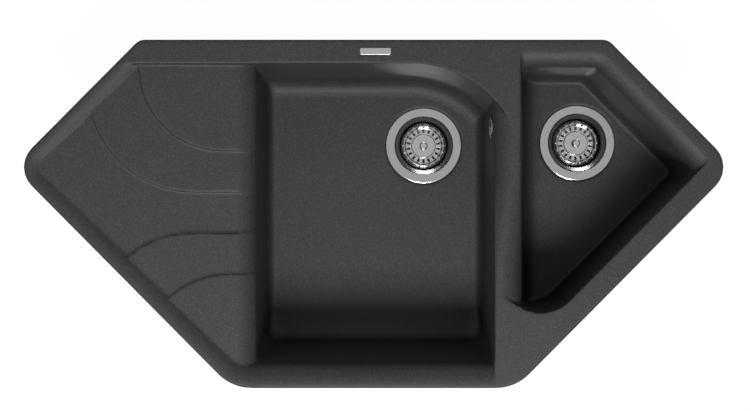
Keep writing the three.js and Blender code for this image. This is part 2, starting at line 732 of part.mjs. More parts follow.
// The small bowl's arc runs on across the divider as a straight tail
function dividerFrontClip() {
  const lean = 33.8 * RAD;
  const contact = [
    smallArcCentre[0] - SMALL_ARC_RADIUS * Math.sin(lean),
    smallArcCentre[1] - SMALL_ARC_RADIUS * Math.cos(lean),
  ];
  const past = MAIN_RIGHT - 10;
  const tailY = contact[1] + (contact[0] - past) * Math.tan(lean);
  const inBowl = SMALL_LEFT + 4;
  const ring = [
    [past, DIVIDER_SWING_FROM * 2],
    [past, tailY],
    contact,
    [inBowl, contact[1] - 1],
    [inBowl, DIVIDER_SWING_FROM * 2],
  ];
  return extrude(ring, floorZ, cutTop + 1);
}

// ---------------------------------------------------------------- clip places
const clipPlaces = CLAW_PLACES.map(({ edge, share, from, side }) => {
  const line = edgeLine(edge, CLIP_INSET);
  const along = from ?? line.length * share;
  return {
    x: line.point[0] + line.direction[0] * along,
    y: line.point[1] + line.direction[1] * along,
    heading: Math.atan2(line.direction[1] * side, line.direction[0] * side),
  };
});
const clipBossZ = DECK_BOTTOM - CLIP_BOSS_LENGTH;
// The screw starts at the bottom of its travel with its tip still held in the boss
const clipTipZ = clipBossZ + 5;
const clipHeadZ = clipTipZ - CLIP_SCREW_LENGTH;
const clipHoleTop = clipTipZ + CLIP_TRAVEL + 1;

// ---------------------------------------------------------------- overflow frame
const overflowZ = rimTop - OVERFLOW_BELOW_RIM;
const overflowX = MAIN_RIGHT - sideSlope * OVERFLOW_BELOW_RIM;
const arcStartY = mainArcY + Math.sqrt(MAIN_ARC_RADIUS ** 2 - (MAIN_RIGHT - MAIN_ARC_X) ** 2);
const overflowY = arcStartY - OVERFLOW_FROM_ARC;
const overflow = new THREE.Group();
overflow.position.set(overflowX, overflowY, overflowZ);
overflow.rotation.y = sideDraft * RAD;
sink.add(overflow);

// Turns a solid made about Z so that its Z axis points out through the bowl's wall
const outOfWall = (solid) => solid.rotate([0, 90, 0]);

// ---------------------------------------------------------------- the sink itself
function sinkBody() {
  const rimRound = [0, 30, 60, 90].map((angle) => ({
    z: rimTop - RIM_ROUND * (1 - Math.sin(angle * RAD)),
    ring: outlineRing(RIM_ROUND * (1 - Math.cos(angle * RAD))),
  }));
  const top = stack([
    { z: DECK_BOTTOM, ring: outlineRing(DECK_INSET) },
    { z: 0, ring: outlineRing(DECK_INSET) },
    { z: 0, ring: outlineRing(0) },
    ...rimRound,
  ]);
  const bosses = clipPlaces.map(({ x, y }) => (
    rod(CLIP_BOSS_RADIUS, clipBossZ, DECK_BOTTOM + MERGE, 16).translate([x, y, 0])
  ));
  const shells = [bowlShell(mainRingAt), bowlShell(smallRingAt), drainEdgeBacking()];
  const mass = union([top, ...shells, ...bosses]);

  const cuts = [
    bowlCavity(mainRingAt),
    bowlCavity(smallRingAt),
    drainField(),
    smallBowlRoll(),
    dividerRoll(-1).intersect(behindMainArc()),
    dividerRoll(1).intersect(dividerFrontClip()),
    sealGroove(),
    rod(TAP_HOLE_RADIUS, DECK_BOTTOM - 1, rimTop - TAP_HOLE_SKIN, 32)
      .translate([TAP_HOLE_X, backY - TAP_HOLE_BACK, 0]),
    outOfWall(rod(OVERFLOW_HOLE_RADIUS, -WALL, 2 * WALL, 24))
      .rotate([0, sideDraft, 0])
      .translate([overflowX, overflowY, overflowZ]),
    ...[mainWaste, smallWaste].map(([x, y]) => wasteHole().translate([x, y, floorZ])),
    ...clipPlaces.map(({ x, y }) => (
      rod(CLIP_SCREW_RADIUS + CLEARANCE, clipBossZ - 1, clipHoleTop, 12).translate([x, y, 0])
    )),
  ];
  return mass.subtract(union(cuts));
}

function sealGroove() {
  return extrude(outlineRing(SEAL_INSET), -1, SEAL_THICKNESS)
    .subtract(extrude(outlineRing(SEAL_INSET + SEAL_WIDTH), -2, SEAL_THICKNESS + 1));
}

function rimSeal() {
  return extrude(outlineRing(SEAL_INSET + SEAL_CLEARANCE), 0, SEAL_THICKNESS)
    .subtract(extrude(outlineRing(SEAL_INSET + SEAL_WIDTH - SEAL_CLEARANCE), -1, SEAL_THICKNESS + 1));
}

function badgePlate() {
  const x = BADGE_LENGTH / 2 - BADGE_CORNER;
  const y = BADGE_WIDTH / 2 - BADGE_CORNER;
  const ringAt = (inset) => [[x, y], [-x, y], [-x, -y], [x, -y]].flatMap((centre, i) => (
    arc(centre, BADGE_CORNER - inset, 90 * RAD * i, 90 * RAD * (i + 1), 3)
  ));
  const edge = BADGE_THICKNESS / 3;
  return stack([
    { z: rimTop, ring: ringAt(0) },
    { z: rimTop + BADGE_THICKNESS - edge, ring: ringAt(0) },
    { z: rimTop + BADGE_THICKNESS, ring: ringAt(edge) },
  ]).translate([BADGE_X, backY - MAIN_BACK_LAND / 2, 0]);
}

// ---------------------------------------------------------------- strainer waste
// Heights here are measured from the bowl's floor
const seatZ = FLANGE_PROUD - FLANGE_THICKNESS - GASKET_THICKNESS;
const flangeBottomZ = seatZ + GASKET_THICKNESS;
const cupBottomZ = -CUP_DEPTH;
const wasteTopZ = -FLOOR_THICKNESS - GASKET_THICKNESS;
const wasteInnerRadius = CUP_MOUTH_RADIUS + SHEET + 2;
const floorHoleRadius = wasteInnerRadius;
const wasteFloorZ = wasteTopZ - WASTE_DEPTH;
const outletBore = OUTLET_RADIUS - OUTLET_WALL;
const outletEndZ = wasteFloorZ - WASTE_WALL - OUTLET_LENGTH;
const hubTopZ = cupBottomZ + SHEET;

function wasteHole() {
  return union([
    rod(FLANGE_RADIUS + 2 * CLEARANCE, seatZ, FLANGE_PROUD + 5, 42),
    rod(floorHoleRadius, -2 * FLOOR_THICKNESS, seatZ + 1),
  ]);
}

// Arms from a hub to the wall round it, leaving the way through open between them
function spider(reach, from, to, boreRadius) {
  const arm = box(0, reach, -SPIDER_ARM_WIDTH / 2, SPIDER_ARM_WIDTH / 2, from, to);
  const hub = rod(SPIDER_HUB_RADIUS, from, to, 18);
  return union([aboutZ(arm, SPIDER_ARMS), hub]).subtract(rod(boreRadius, from - 1, to + 1, 12));
}

function flangeCup() {
  const shell = turned([
    [FLANGE_RADIUS, flangeBottomZ],
    [FLANGE_RADIUS, flangeBottomZ + 0.9],
    [FLANGE_RADIUS - 1.5, FLANGE_PROUD],
    [CUP_MOUTH_RADIUS + 1.5, FLANGE_PROUD],
    [CUP_MOUTH_RADIUS, -1.4],
    [CUP_THROAT_RADIUS, -CUP_THROAT_DEPTH],
    [CUP_THROAT_RADIUS - 1, cupBottomZ + SHEET],
    [CUP_DRAIN_RADIUS, cupBottomZ + SHEET],
    [CUP_DRAIN_RADIUS, cupBottomZ],
    [CUP_THROAT_RADIUS - 1 + SHEET, cupBottomZ],
    [CUP_THROAT_RADIUS + SHEET, -CUP_THROAT_DEPTH - 0.6],
    [CUP_MOUTH_RADIUS + SHEET, flangeBottomZ - 1.5],
    [CUP_MOUTH_RADIUS + SHEET + 0.8, flangeBottomZ],
    [FLANGE_RADIUS, flangeBottomZ],
  ], 42);
  return shell.add(spider(CUP_DRAIN_RADIUS + 1, cupBottomZ, hubTopZ, CLAMP_SCREW_RADIUS + CLEARANCE));
}

function flangeGasket() {
  return sleeve(floorHoleRadius + 1, FLANGE_RADIUS - 1, seatZ, flangeBottomZ, 32);
}

function wasteGasket() {
  return sleeve(floorHoleRadius + 1, WASTE_FLANGE_RADIUS - 1, wasteTopZ, -FLOOR_THICKNESS, 32);
}

function wasteBody(inletHeading) {
  const outerRadius = wasteInnerRadius + WASTE_WALL;
  const shell = turned([
    [WASTE_FLANGE_RADIUS, wasteTopZ],
    [wasteInnerRadius, wasteTopZ],
    [wasteInnerRadius, wasteFloorZ + 6],
    [wasteInnerRadius - 8, wasteFloorZ],
    [outletBore, wasteFloorZ - 3],
    [outletBore, outletEndZ],
    [OUTLET_RADIUS, outletEndZ],
    [OUTLET_RADIUS, wasteFloorZ - WASTE_WALL - 3],
    [wasteInnerRadius - 8, wasteFloorZ - WASTE_WALL],
    [outerRadius, wasteFloorZ + 5],
    [outerRadius, wasteTopZ - 4],
    [WASTE_FLANGE_RADIUS, wasteTopZ - 4],
    [WASTE_FLANGE_RADIUS, wasteTopZ],
  ], 32);
  const boss = spider(outletBore + 1, wasteFloorZ - 10, wasteFloorZ - 3, CLAMP_SCREW_RADIUS + CLEARANCE);
  const body = shell.add(boss);
  if (inletHeading === null) return body;
  const place = (solid) => solid
    .rotate([0, 90, 0])
    .rotate([0, 0, inletHeading / RAD])
    .translate([0, 0, -INLET_BELOW_FLOOR]);
  const spigot = place(rod(socketRadius, wasteInnerRadius + 1, inletEnd, 24));
  const socket = place(rod(PIPE_RADIUS + CLEARANCE, inletEnd - PIPE_ENGAGEMENT, inletEnd + 1, 24));
  const bore = place(rod(PIPE_RADIUS - PIPE_WALL, wasteInnerRadius - 5, inletEnd, 24));
  return body.add(spigot).subtract(socket).subtract(bore);
}

function clampScrew() {
  const end = hubTopZ - CLAMP_SCREW_LENGTH;
  const screw = turned([
    [0, end],
    [CLAMP_SCREW_RADIUS - 0.8, end],
    [CLAMP_SCREW_RADIUS, end + 1],
    [CLAMP_SCREW_RADIUS, hubTopZ],
    [CLAMP_HEAD_RADIUS, hubTopZ],
    [CLAMP_HEAD_RADIUS, hubTopZ + CLAMP_HEAD_HEIGHT - 0.8],
    [CLAMP_HEAD_RADIUS - 1, hubTopZ + CLAMP_HEAD_HEIGHT],
    [0, hubTopZ + CLAMP_HEAD_HEIGHT],
  ], 16);
  const slot = box(-CLAMP_HEAD_RADIUS, CLAMP_HEAD_RADIUS, -0.6, 0.6, hubTopZ + 1.2, hubTopZ + 5);
  return screw.subtract(slot);
}

// The stopper's lip seals on the cup's floor; the basket stands on the stopper
const lipZ = hubTopZ + CLEARANCE;
const stopperBottomZ = hubTopZ + CLAMP_HEAD_HEIGHT + 2 * CLEARANCE;
const stopperTopZ = stopperBottomZ + STOPPER_THICKNESS;
const basketFloorZ = stopperTopZ + CLEARANCE;
const basketRimZ = basketFloorZ + BASKET_HEIGHT;
const discTopZ = basketFloorZ + SHEET + BASKET_DISC_RISE;
const knobZ = discTopZ + CLEARANCE;

function stopper() {
  return turned([
    [0, stopperBottomZ],
    [STOPPER_RADIUS - STOPPER_LIP_WIDTH, stopperBottomZ],
    [STOPPER_RADIUS - STOPPER_LIP_WIDTH + 0.8, lipZ],
    [STOPPER_RADIUS, lipZ],
    [STOPPER_RADIUS, stopperTopZ - 1],
    [STOPPER_RADIUS - 1, stopperTopZ],
    [0, stopperTopZ],
  ], 36).subtract(rod(POST_RADIUS + CLEARANCE, stopperTopZ - 2, stopperTopZ + 1, 16));
}

function post() {
  const neck = POST_RADIUS + 0.6;
  return turned([
    [0, stopperTopZ - 2],
    [POST_RADIUS, stopperTopZ - 2],
    [POST_RADIUS, knobZ],
    [neck + 1.4, knobZ],
    [neck, knobZ + 2],
    [neck, knobZ + KNOB_HEIGHT - 5],
    [KNOB_RADIUS, knobZ + KNOB_HEIGHT - 3],
    [KNOB_RADIUS, knobZ + KNOB_HEIGHT - 1.2],
    [KNOB_RADIUS - 1.6, knobZ + KNOB_HEIGHT],
    [0, knobZ + KNOB_HEIGHT],
  ], 24);
}

function basket() {
  const shell = turned([
    [POST_RADIUS + CLEARANCE, discTopZ],
    [BASKET_DISC_RADIUS - 1, discTopZ],
    [BASKET_DISC_RADIUS, basketFloorZ + SHEET],
    [BASKET_FOOT_RADIUS - SHEET, basketFloorZ + SHEET],
    [BASKET_RIM_RADIUS - SHEET, basketRimZ],
    [BASKET_RIM_RADIUS, basketRimZ],
    [BASKET_FOOT_RADIUS, basketFloorZ],
    [BASKET_DISC_RADIUS - SHEET, basketFloorZ],
    [BASKET_DISC_RADIUS - 2 - SHEET, discTopZ - SHEET],
    [POST_RADIUS + CLEARANCE, discTopZ - SHEET],
    [POST_RADIUS + CLEARANCE, discTopZ],
  ], 36);
  const halfSlot = BASKET_SLOT_WIDTH / 2;
  const slot = box(BASKET_SLOT_FROM, BASKET_SLOT_TO, -halfSlot, halfSlot, basketFloorZ - 1, discTopZ + 1);
  const lean = (BASKET_RIM_RADIUS - BASKET_FOOT_RADIUS) / BASKET_HEIGHT;
  const ribSection = (radius) => [
    [radius - 0.6, -BASKET_RIB_WIDTH / 2],
    [radius + BASKET_RIB_HEIGHT, -BASKET_RIB_WIDTH / 2],
    [radius + BASKET_RIB_HEIGHT, BASKET_RIB_WIDTH / 2],
    [radius - 0.6, BASKET_RIB_WIDTH / 2],
  ];
  const rib = stack([
    { z: basketRimZ - 6, ring: ribSection(BASKET_RIM_RADIUS - 6 * lean) },
    { z: basketRimZ, ring: ribSection(BASKET_RIM_RADIUS) },
  ]);
  const ribStart = 90 + 180 / BASKET_RIBS;
  return shell
    .subtract(aboutZ(slot.rotate([0, 0, 90]), BASKET_RIBS))
    .add(aboutZ(rib.rotate([0, 0, ribStart]), BASKET_RIBS));
}

// ---------------------------------------------------------------- overflow
const socketRadius = PIPE_RADIUS + CLEARANCE + SOCKET_WALL;
const inletEnd = wasteInnerRadius + WASTE_WALL + INLET_LENGTH;
const elbowFaceAt = WALL + GASKET_THICKNESS;
const elbowMiddleAt = elbowFaceAt + ELBOW_LENGTH / 2 + SOCKET_SET_BACK;
const screwEndAt = elbowFaceAt + ELBOW_LENGTH - 4;

function rose() {
  const disc = turned([
    [0, -CLEARANCE],
    [ROSE_RADIUS - 1, -CLEARANCE],
    [ROSE_RADIUS, -CLEARANCE - 0.6],
    [ROSE_RADIUS - 0.6, -ROSE_EDGE],
    [ROSE_RADIUS / 2, -ROSE_EDGE - ROSE_DOME * 0.75],
    [0, -ROSE_EDGE - ROSE_DOME],
  ], 36);
  const slot = box(6.5, 14.5, -1.6, 1.6, -ROSE_EDGE - ROSE_DOME - 2, 2);
  const screwHole = union([
    rod(OVERFLOW_SCREW_RADIUS + CLEARANCE, -10, 2, 12),
    rod(OVERFLOW_HEAD_RADIUS + CLEARANCE, -10, -ROSE_EDGE - 0.4, 16),
  ]);
  return disc.subtract(aboutZ(slot.rotate([0, 0, 30]), ROSE_SLOTS)).subtract(screwHole);
}

function roseScrew() {
  return turned([
    [0, -ROSE_EDGE - 0.4 - 2],
    [OVERFLOW_HEAD_RADIUS - 0.6, -ROSE_EDGE - 0.4 - 2],
    [OVERFLOW_HEAD_RADIUS, -ROSE_EDGE - 0.4 - 1.2],
    [OVERFLOW_HEAD_RADIUS, -ROSE_EDGE - 0.4],
    [OVERFLOW_SCREW_RADIUS, -ROSE_EDGE - 0.4],
    [OVERFLOW_SCREW_RADIUS, screwEndAt],
    [0, screwEndAt],
  ], 16).subtract(box(-4, 4, -0.5, 0.5, -ROSE_EDGE - 4, -ROSE_EDGE - 1.4));
}

function overflowSeal() {
  const [inner, outer] = [OVERFLOW_HOLE_RADIUS + 0.5, ELBOW_RADIUS - CLEARANCE];
  return sleeve(inner, outer, WALL + CLEARANCE / 2, elbowFaceAt, 30);
}

// A short drum behind the wall, with a socket for the pipe pointing straight down
function elbow() {
  const end = elbowFaceAt + ELBOW_LENGTH;
  const inner = ELBOW_RADIUS - ELBOW_WALL;
  const drum = turned([
    [0, end],
    [ELBOW_RADIUS - 2, end],
    [ELBOW_RADIUS, end - 2],
    [ELBOW_RADIUS, elbowFaceAt],
    [inner, elbowFaceAt],
    [inner, end - ELBOW_WALL],
    [0, end - ELBOW_WALL],
  ], 30);
  const pillar = rod(OVERFLOW_SCREW_RADIUS + CLEARANCE + 2, elbowFaceAt + 3, end - 1, 16)
    .subtract(rod(OVERFLOW_SCREW_RADIUS + CLEARANCE, 0, screwEndAt + CLEARANCE, 12));
  const turnedDrum = outOfWall(drum.add(pillar)).rotate([0, sideDraft, 0]);
  const socketTop = -ELBOW_RADIUS + 3;
  const outer = rod(socketRadius, socketBottom, socketTop, 24).translate([socketX, 0, 0]);
  const bore = union([
    rod(PIPE_RADIUS - PIPE_WALL, socketBottom, socketTop + 1.5, 24),
    rod(PIPE_RADIUS + CLEARANCE, socketBottom - 1, socketBottom + PIPE_ENGAGEMENT, 24),
  ]).translate([socketX, 0, 0]);
  const hollow = outOfWall(rod(inner, elbowFaceAt - 5, end - ELBOW_WALL, 30))
    .rotate([0, sideDraft, 0])
    .subtract(outOfWall(pillar).rotate([0, sideDraft, 0]));
  return turnedDrum.add(outer.subtract(hollow)).subtract(bore);
}
const socketX = elbowMiddleAt;
const socketBottom = -ELBOW_RADIUS - SOCKET_LENGTH;

// The pipe drops between the bowls, bends under the main bowl and runs to its waste
const pipeTopPoint = [overflowX + socketX, overflowY];
const inletHeading = Math.atan2(pipeTopPoint[1] - mainWaste[1], pipeTopPoint[0] - mainWaste[0]);
const inletReach = Math.hypot(pipeTopPoint[0] - mainWaste[0], pipeTopPoint[1] - mainWaste[1]);
const pipeTopZ = overflowZ + socketBottom + PIPE_ENGAGEMENT - CLEARANCE;
const inletZ = floorZ - INLET_BELOW_FLOOR;

function bentRod(radius, extra) {
  const section = arc([0, 0], radius, 0, 360 * RAD, 20).slice(0, 20);
  const start = { along: inletReach, z: pipeTopZ + extra, tilt: 0 };
  const bend = Array.from({ length: 7 }, (_, i) => {
    const tilt = (90 * RAD * i) / 6;
    return {
      along: inletReach - PIPE_BEND * (1 - Math.cos(tilt)),
      z: inletZ + PIPE_BEND * (1 - Math.sin(tilt)),
      tilt,
    };
  });
  const end = { along: inletEnd - PIPE_ENGAGEMENT + CLEARANCE - extra, z: inletZ, tilt: 90 * RAD };
  const stations = [start, ...bend, end];
  return skin(stations.map(() => section), (u, v, r) => {
    const { along, z, tilt } = stations[r];
    return [along + u * Math.cos(tilt), v, z - u * Math.sin(tilt)];
  }).rotate([0, 0, inletHeading / RAD]).translate([mainWaste[0], mainWaste[1], 0]);
}

function pipe() {
  return bentRod(PIPE_RADIUS, 0).subtract(bentRod(PIPE_RADIUS - PIPE_WALL, 1));
}

// A ribbed nut over the end of a socket, closed down to the pipe at one end
function pipeNut() {
  const inner = socketRadius + CLEARANCE;
  const outer = inner + NUT_WALL;
  const body = turned([
    [inner, 0],
    [outer, 0],
    [outer, NUT_LENGTH],
    [outer - 1, NUT_LENGTH + 3],
    [PIPE_RADIUS + CLEARANCE, NUT_LENGTH + 3],
    [PIPE_RADIUS + CLEARANCE, NUT_LENGTH],
    [inner, NUT_LENGTH],
    [inner, 0],
  ], 24);
  return body;
}

// A rubber ring between the socket's mouth and the nut
function pipeRing() {
  const [inner, outer] = [PIPE_RADIUS + CLEARANCE, socketRadius - CLEARANCE];
  return sleeve(inner, outer, CLEARANCE, NUT_LENGTH - NUT_OVERLAP - CLEARANCE, 24);
}

// ---------------------------------------------------------------- clips
// A steel strip on a screw, with a toothed end that bites the underside of the worktop
function claw() {
  const half = CLAW_WIDTH / 2;
  const strip = box(-half, CLAW_REACH, -half, half, 0, CLAW_THICKNESS);
  const tooth = box(CLAW_REACH - CLAW_THICKNESS, CLAW_REACH, -half, half, 0, CLAW_TOOTH_HEIGHT);
  const toothTop = CLAW_TOOTH_HEIGHT;
  const halfNotch = CLAW_NOTCH / 2;
  const notch = box(0, CLAW_REACH + 1, -halfNotch, halfNotch, toothTop - CLAW_NOTCH, toothTop + 1);
  const rounding = rod(half, -1, CLAW_THICKNESS + 1, 24)
    .add(box(0, CLAW_REACH + 1, -half, half, -1, toothTop + 1));
  const hole = rod(CLIP_SCREW_RADIUS + CLEARANCE, -1, CLAW_THICKNESS + 1, 16);
  return union([strip, tooth]).intersect(rounding).subtract(notch).subtract(hole);
}

function clipScrew() {
  const slotTop = -CLIP_HEAD_HEIGHT + 1.5;
  const slot = box(-CLIP_HEAD_RADIUS, CLIP_HEAD_RADIUS, -0.6, 0.6, -CLIP_HEAD_HEIGHT - 1, slotTop);
  return turned([
    [0, -CLIP_HEAD_HEIGHT],
    [CLIP_HEAD_RADIUS - 0.8, -CLIP_HEAD_HEIGHT],
    [CLIP_HEAD_RADIUS, -CLIP_HEAD_HEIGHT + 0.8],
    [CLIP_HEAD_RADIUS, 0],
    [CLIP_SCREW_RADIUS, 0],
    [CLIP_SCREW_RADIUS, CLIP_SCREW_LENGTH - 1],
    [CLIP_SCREW_RADIUS - 0.8, CLIP_SCREW_LENGTH],
    [0, CLIP_SCREW_LENGTH],
  ], 16).subtract(slot);
}

// ---------------------------------------------------------------- assembly
addPiece('sink_body', sinkBody(), granite);
addPiece('rim_seal', rimSeal(), foam);
addPiece('badge_plate', badgePlate(), steel);

const wastes = [
  { name: 'main', at: mainWaste, heading: inletHeading },
  { name: 'small', at: smallWaste, heading: null },
];
for (const { name, at, heading } of wastes) {
  const waste = new THREE.Group();
  waste.position.set(at[0], at[1], floorZ);
  sink.add(waste);
  addPiece(`${name}_strainer_flange`, flangeCup(), steel, waste);
  addPiece(`${name}_flange_gasket`, flangeGasket(), rubber, waste);
  addPiece(`${name}_waste_gasket`, wasteGasket(), rubber, waste);
  addPiece(`${name}_waste_body`, wasteBody(heading), plastic, waste);
  addPiece(`${name}_clamp_screw`, clampScrew(), steel, waste);
  addPiece(`${name}_stopper`, stopper(), rubber, waste);
  addPiece(`${name}_basket_post`, post(), steel, waste);
  addPiece(`${name}_basket`, basket(), steel, waste);
}

addPiece('overflow_rose', outOfWall(rose()), steel, overflow);
addPiece('overflow_screw', outOfWall(roseScrew()), steel, overflow);
addPiece('overflow_seal', outOfWall(overflowSeal()), rubber, overflow);
addPiece('overflow_elbow', elbow().translate([overflowX, overflowY, overflowZ]), plastic);
addPiece('overflow_pipe', pipe(), plastic);

const topNut = new THREE.Group();
topNut.position.set(pipeTopPoint[0], pipeTopPoint[1], overflowZ + socketBottom);
topNut.rotation.x = Math.PI;
sink.add(topNut);
const wasteNut = new THREE.Group();
wasteNut.position.set(
  mainWaste[0] + inletEnd * Math.cos(inletHeading),
  mainWaste[1] + inletEnd * Math.sin(inletHeading),
  inletZ,
);
wasteNut.rotation.set(0, Math.PI / 2, inletHeading, 'ZYX');
sink.add(wasteNut);
for (const [end, group] of [['top', topNut], ['waste', wasteNut]]) {
  addPiece(`overflow_${end}_nut`, pipeNut().translate([0, 0, -NUT_OVERLAP]), plastic, group);
  addPiece(`overflow_${end}_ring`, pipeRing(), rubber, group);
}

clipPlaces.forEach(({ x, y, heading }, i) => {
  const clip = new THREE.Group();
  clip.position.set(x, y, clipHeadZ);
  clip.rotation.z = heading;
  sink.add(clip);
  addPiece(`clip_${i + 1}_screw`, clipScrew(), zinc, clip);
  addPiece(`clip_${i + 1}_claw`, claw().translate([0, 0, CLEARANCE]), zinc, clip);
});

export default sink;
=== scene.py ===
"""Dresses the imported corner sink: granite, steel, rubber and plastic round the fixed frame."""

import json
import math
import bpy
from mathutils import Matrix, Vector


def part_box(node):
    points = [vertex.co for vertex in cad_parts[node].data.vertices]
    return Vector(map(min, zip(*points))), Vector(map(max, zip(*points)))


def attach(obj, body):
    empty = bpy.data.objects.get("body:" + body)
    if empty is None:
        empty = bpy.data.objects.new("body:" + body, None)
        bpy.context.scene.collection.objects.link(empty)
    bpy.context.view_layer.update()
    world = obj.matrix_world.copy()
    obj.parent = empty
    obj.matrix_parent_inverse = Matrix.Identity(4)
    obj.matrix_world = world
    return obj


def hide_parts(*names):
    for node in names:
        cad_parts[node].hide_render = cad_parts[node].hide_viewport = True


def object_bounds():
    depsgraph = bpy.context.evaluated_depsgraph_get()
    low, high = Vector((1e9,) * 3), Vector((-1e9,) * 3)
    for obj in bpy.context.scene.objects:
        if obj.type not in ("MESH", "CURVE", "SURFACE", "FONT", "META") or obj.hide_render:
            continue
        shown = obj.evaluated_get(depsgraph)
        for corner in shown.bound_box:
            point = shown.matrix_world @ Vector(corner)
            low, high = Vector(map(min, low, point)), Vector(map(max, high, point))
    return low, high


bl_info = {
    "name": "Corner Sink",
    "version": (1, 0, 0),
    "blender": (4, 5, 0),
    "location": "View3D > Sidebar > Corner Sink",
    "description": "Builds a granite corner sink with its strainers, overflow and clips",
    "category": "Object",
}

import bmesh
import bpy
from bpy.props import FloatProperty, FloatVectorProperty, IntProperty, PointerProperty
from bpy.types import Operator, Panel, PropertyGroup
from mathutils import Matrix, Vector

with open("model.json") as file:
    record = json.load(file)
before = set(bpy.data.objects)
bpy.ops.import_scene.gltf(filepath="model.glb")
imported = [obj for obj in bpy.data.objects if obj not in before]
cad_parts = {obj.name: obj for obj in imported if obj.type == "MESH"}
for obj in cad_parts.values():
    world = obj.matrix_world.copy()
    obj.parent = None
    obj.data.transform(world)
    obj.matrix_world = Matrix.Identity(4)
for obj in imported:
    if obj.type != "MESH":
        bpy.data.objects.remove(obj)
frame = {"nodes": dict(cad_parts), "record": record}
CAD_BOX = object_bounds()

MM = 0.001
BOWLS = ("main", "small")
CLIPS = tuple(sorted(name for name in frame["nodes"] if name.startswith("clip_")))
BODY_OF = {
    node: body
    for body, nodes in frame["record"]["behaviour"]["bodies"].items()
    for node in nodes
}


# ------------------------------------------------------------------ sizes and colours


def size(label, description, default, **more):
    """A length in metres."""
    return FloatProperty(
        name=label, description=description, default=default, unit="LENGTH", precision=5, **more
    )


def colour(label, description, default):
    return FloatVectorProperty(
        name=label, description=description, default=default, subtype="COLOR", size=3, min=0, max=1
    )


class GraniteSettings(PropertyGroup):
    base: colour("Base", "Colour of the dark composite", (0.024, 0.024, 0.0243))
    fleck: colour("Fleck", "Colour of the pale mineral flecks", (0.09, 0.09, 0.092))
    grain: size("Grain", "Width of one grain of the composite", 1.3 * MM)
    relief: size("Relief", "Height of the fine moulded texture", 0.06 * MM)
    roughness: FloatProperty(name="Roughness", description="Satin of the surface", default=0.56)
    quirk: size(
        "Step line", "Radius of the fine line at the foot of each drainboard step", 0.8 * MM
    )
    roll: size("Roll", "Radius of the drainboard's rolled edge into the bowl", 32 * MM)
    voxel: size("Voxel", "Spacing at which the moulded edges are rounded", 1.9 * MM)
    rounding: IntProperty(name="Rounding", description="Passes that soften the edges", default=2)
    triangles: IntProperty(
        name="Triangles", description="Size of the finished mesh", default=180000
    )


class SteelSettings(PropertyGroup):
    brushed: colour("Brushed", "Brushed stainless steel", (0.33, 0.33, 0.334))
    polished: colour("Polished", "Pressed and polished steel", (0.38, 0.38, 0.384))
    zinc: colour("Zinc", "Zinc-plated clips and screws", (0.5, 0.51, 0.53))
    line: size("Brush line", "Spacing of the fine brush lines", 0.35 * MM)
    bead: size("Bead", "Radius of the rolled edge of the basket", 0.95 * MM)
    tooth: size("Tooth", "Radius of the pressed bumps round the basket's rim", 1.25 * MM)
    turns: IntProperty(name="Turns", description="Faces round a turned piece", default=96)


class PlasticSettings(PropertyGroup):
    moulded: colour(
        "Moulded", "Black moulded plastic of the wastes and overflow", (0.022, 0.022, 0.024)
    )
    rubber: colour("Rubber", "Black rubber of the stoppers, gaskets and rings", (0.014, 0.014, 0.014))
    foam: colour("Foam", "Foam strip under the rim", (0.05, 0.05, 0.05))
    pitch: size("Thread pitch", "Distance between the turns of a pipe thread", 2.3 * MM)


class StageSettings(PropertyGroup):
    floor: colour("Floor", "Pale floor", (0.86, 0.86, 0.86))
    camera_height: size("Camera height", "Distance from the rim to the camera", 3.2)
    photo_width: size("Width seen", "Width of the picture at the height of the rim", 1.0716)
    centre_x: size("Centre X", "Where the camera looks, along the back edge", 2.6 * MM)
    centre_y: size("Centre Y", "Where the camera looks, towards the corner", 12.0 * MM)
    key: FloatProperty(
        name="Key light", description="Power of the large soft light", default=112, unit="POWER"
    )
    key_width: size("Key width", "Width of the large soft light", 0.95)
    fill: FloatProperty(name="Fill", description="Strength of the surroundings", default=0.03)


# ------------------------------------------------------------------ shader expressions


class Wire:
    """An output of a shader node that can stand in a Python expression."""

    def __init__(self, finish, output):
        self.finish = finish
        self.output = output

    def sum(self, operation, first, second):
        return self.finish.node("ShaderNodeMath", {0: first, 1: second}, operation=operation)

    def __add__(self, other):
        return self.sum("ADD", self, other)

    def __sub__(self, other):
        return self.sum("SUBTRACT", self, other)

    def __rsub__(self, other):
        return self.sum("SUBTRACT", other, self)

    def __mul__(self, other):
        return self.sum("MULTIPLY", self, other)

    __radd__ = __add__

    def spread(self, low, high, to_low=0.0, to_high=1.0):
        """The value between low and high, stretched to a new range and held there."""
        values = {
            "Value": self, "From Min": low, "From Max": high, "To Min": to_low, "To Max": to_high,
        }
        return self.finish.node("ShaderNodeMapRange", values, clamp=True)


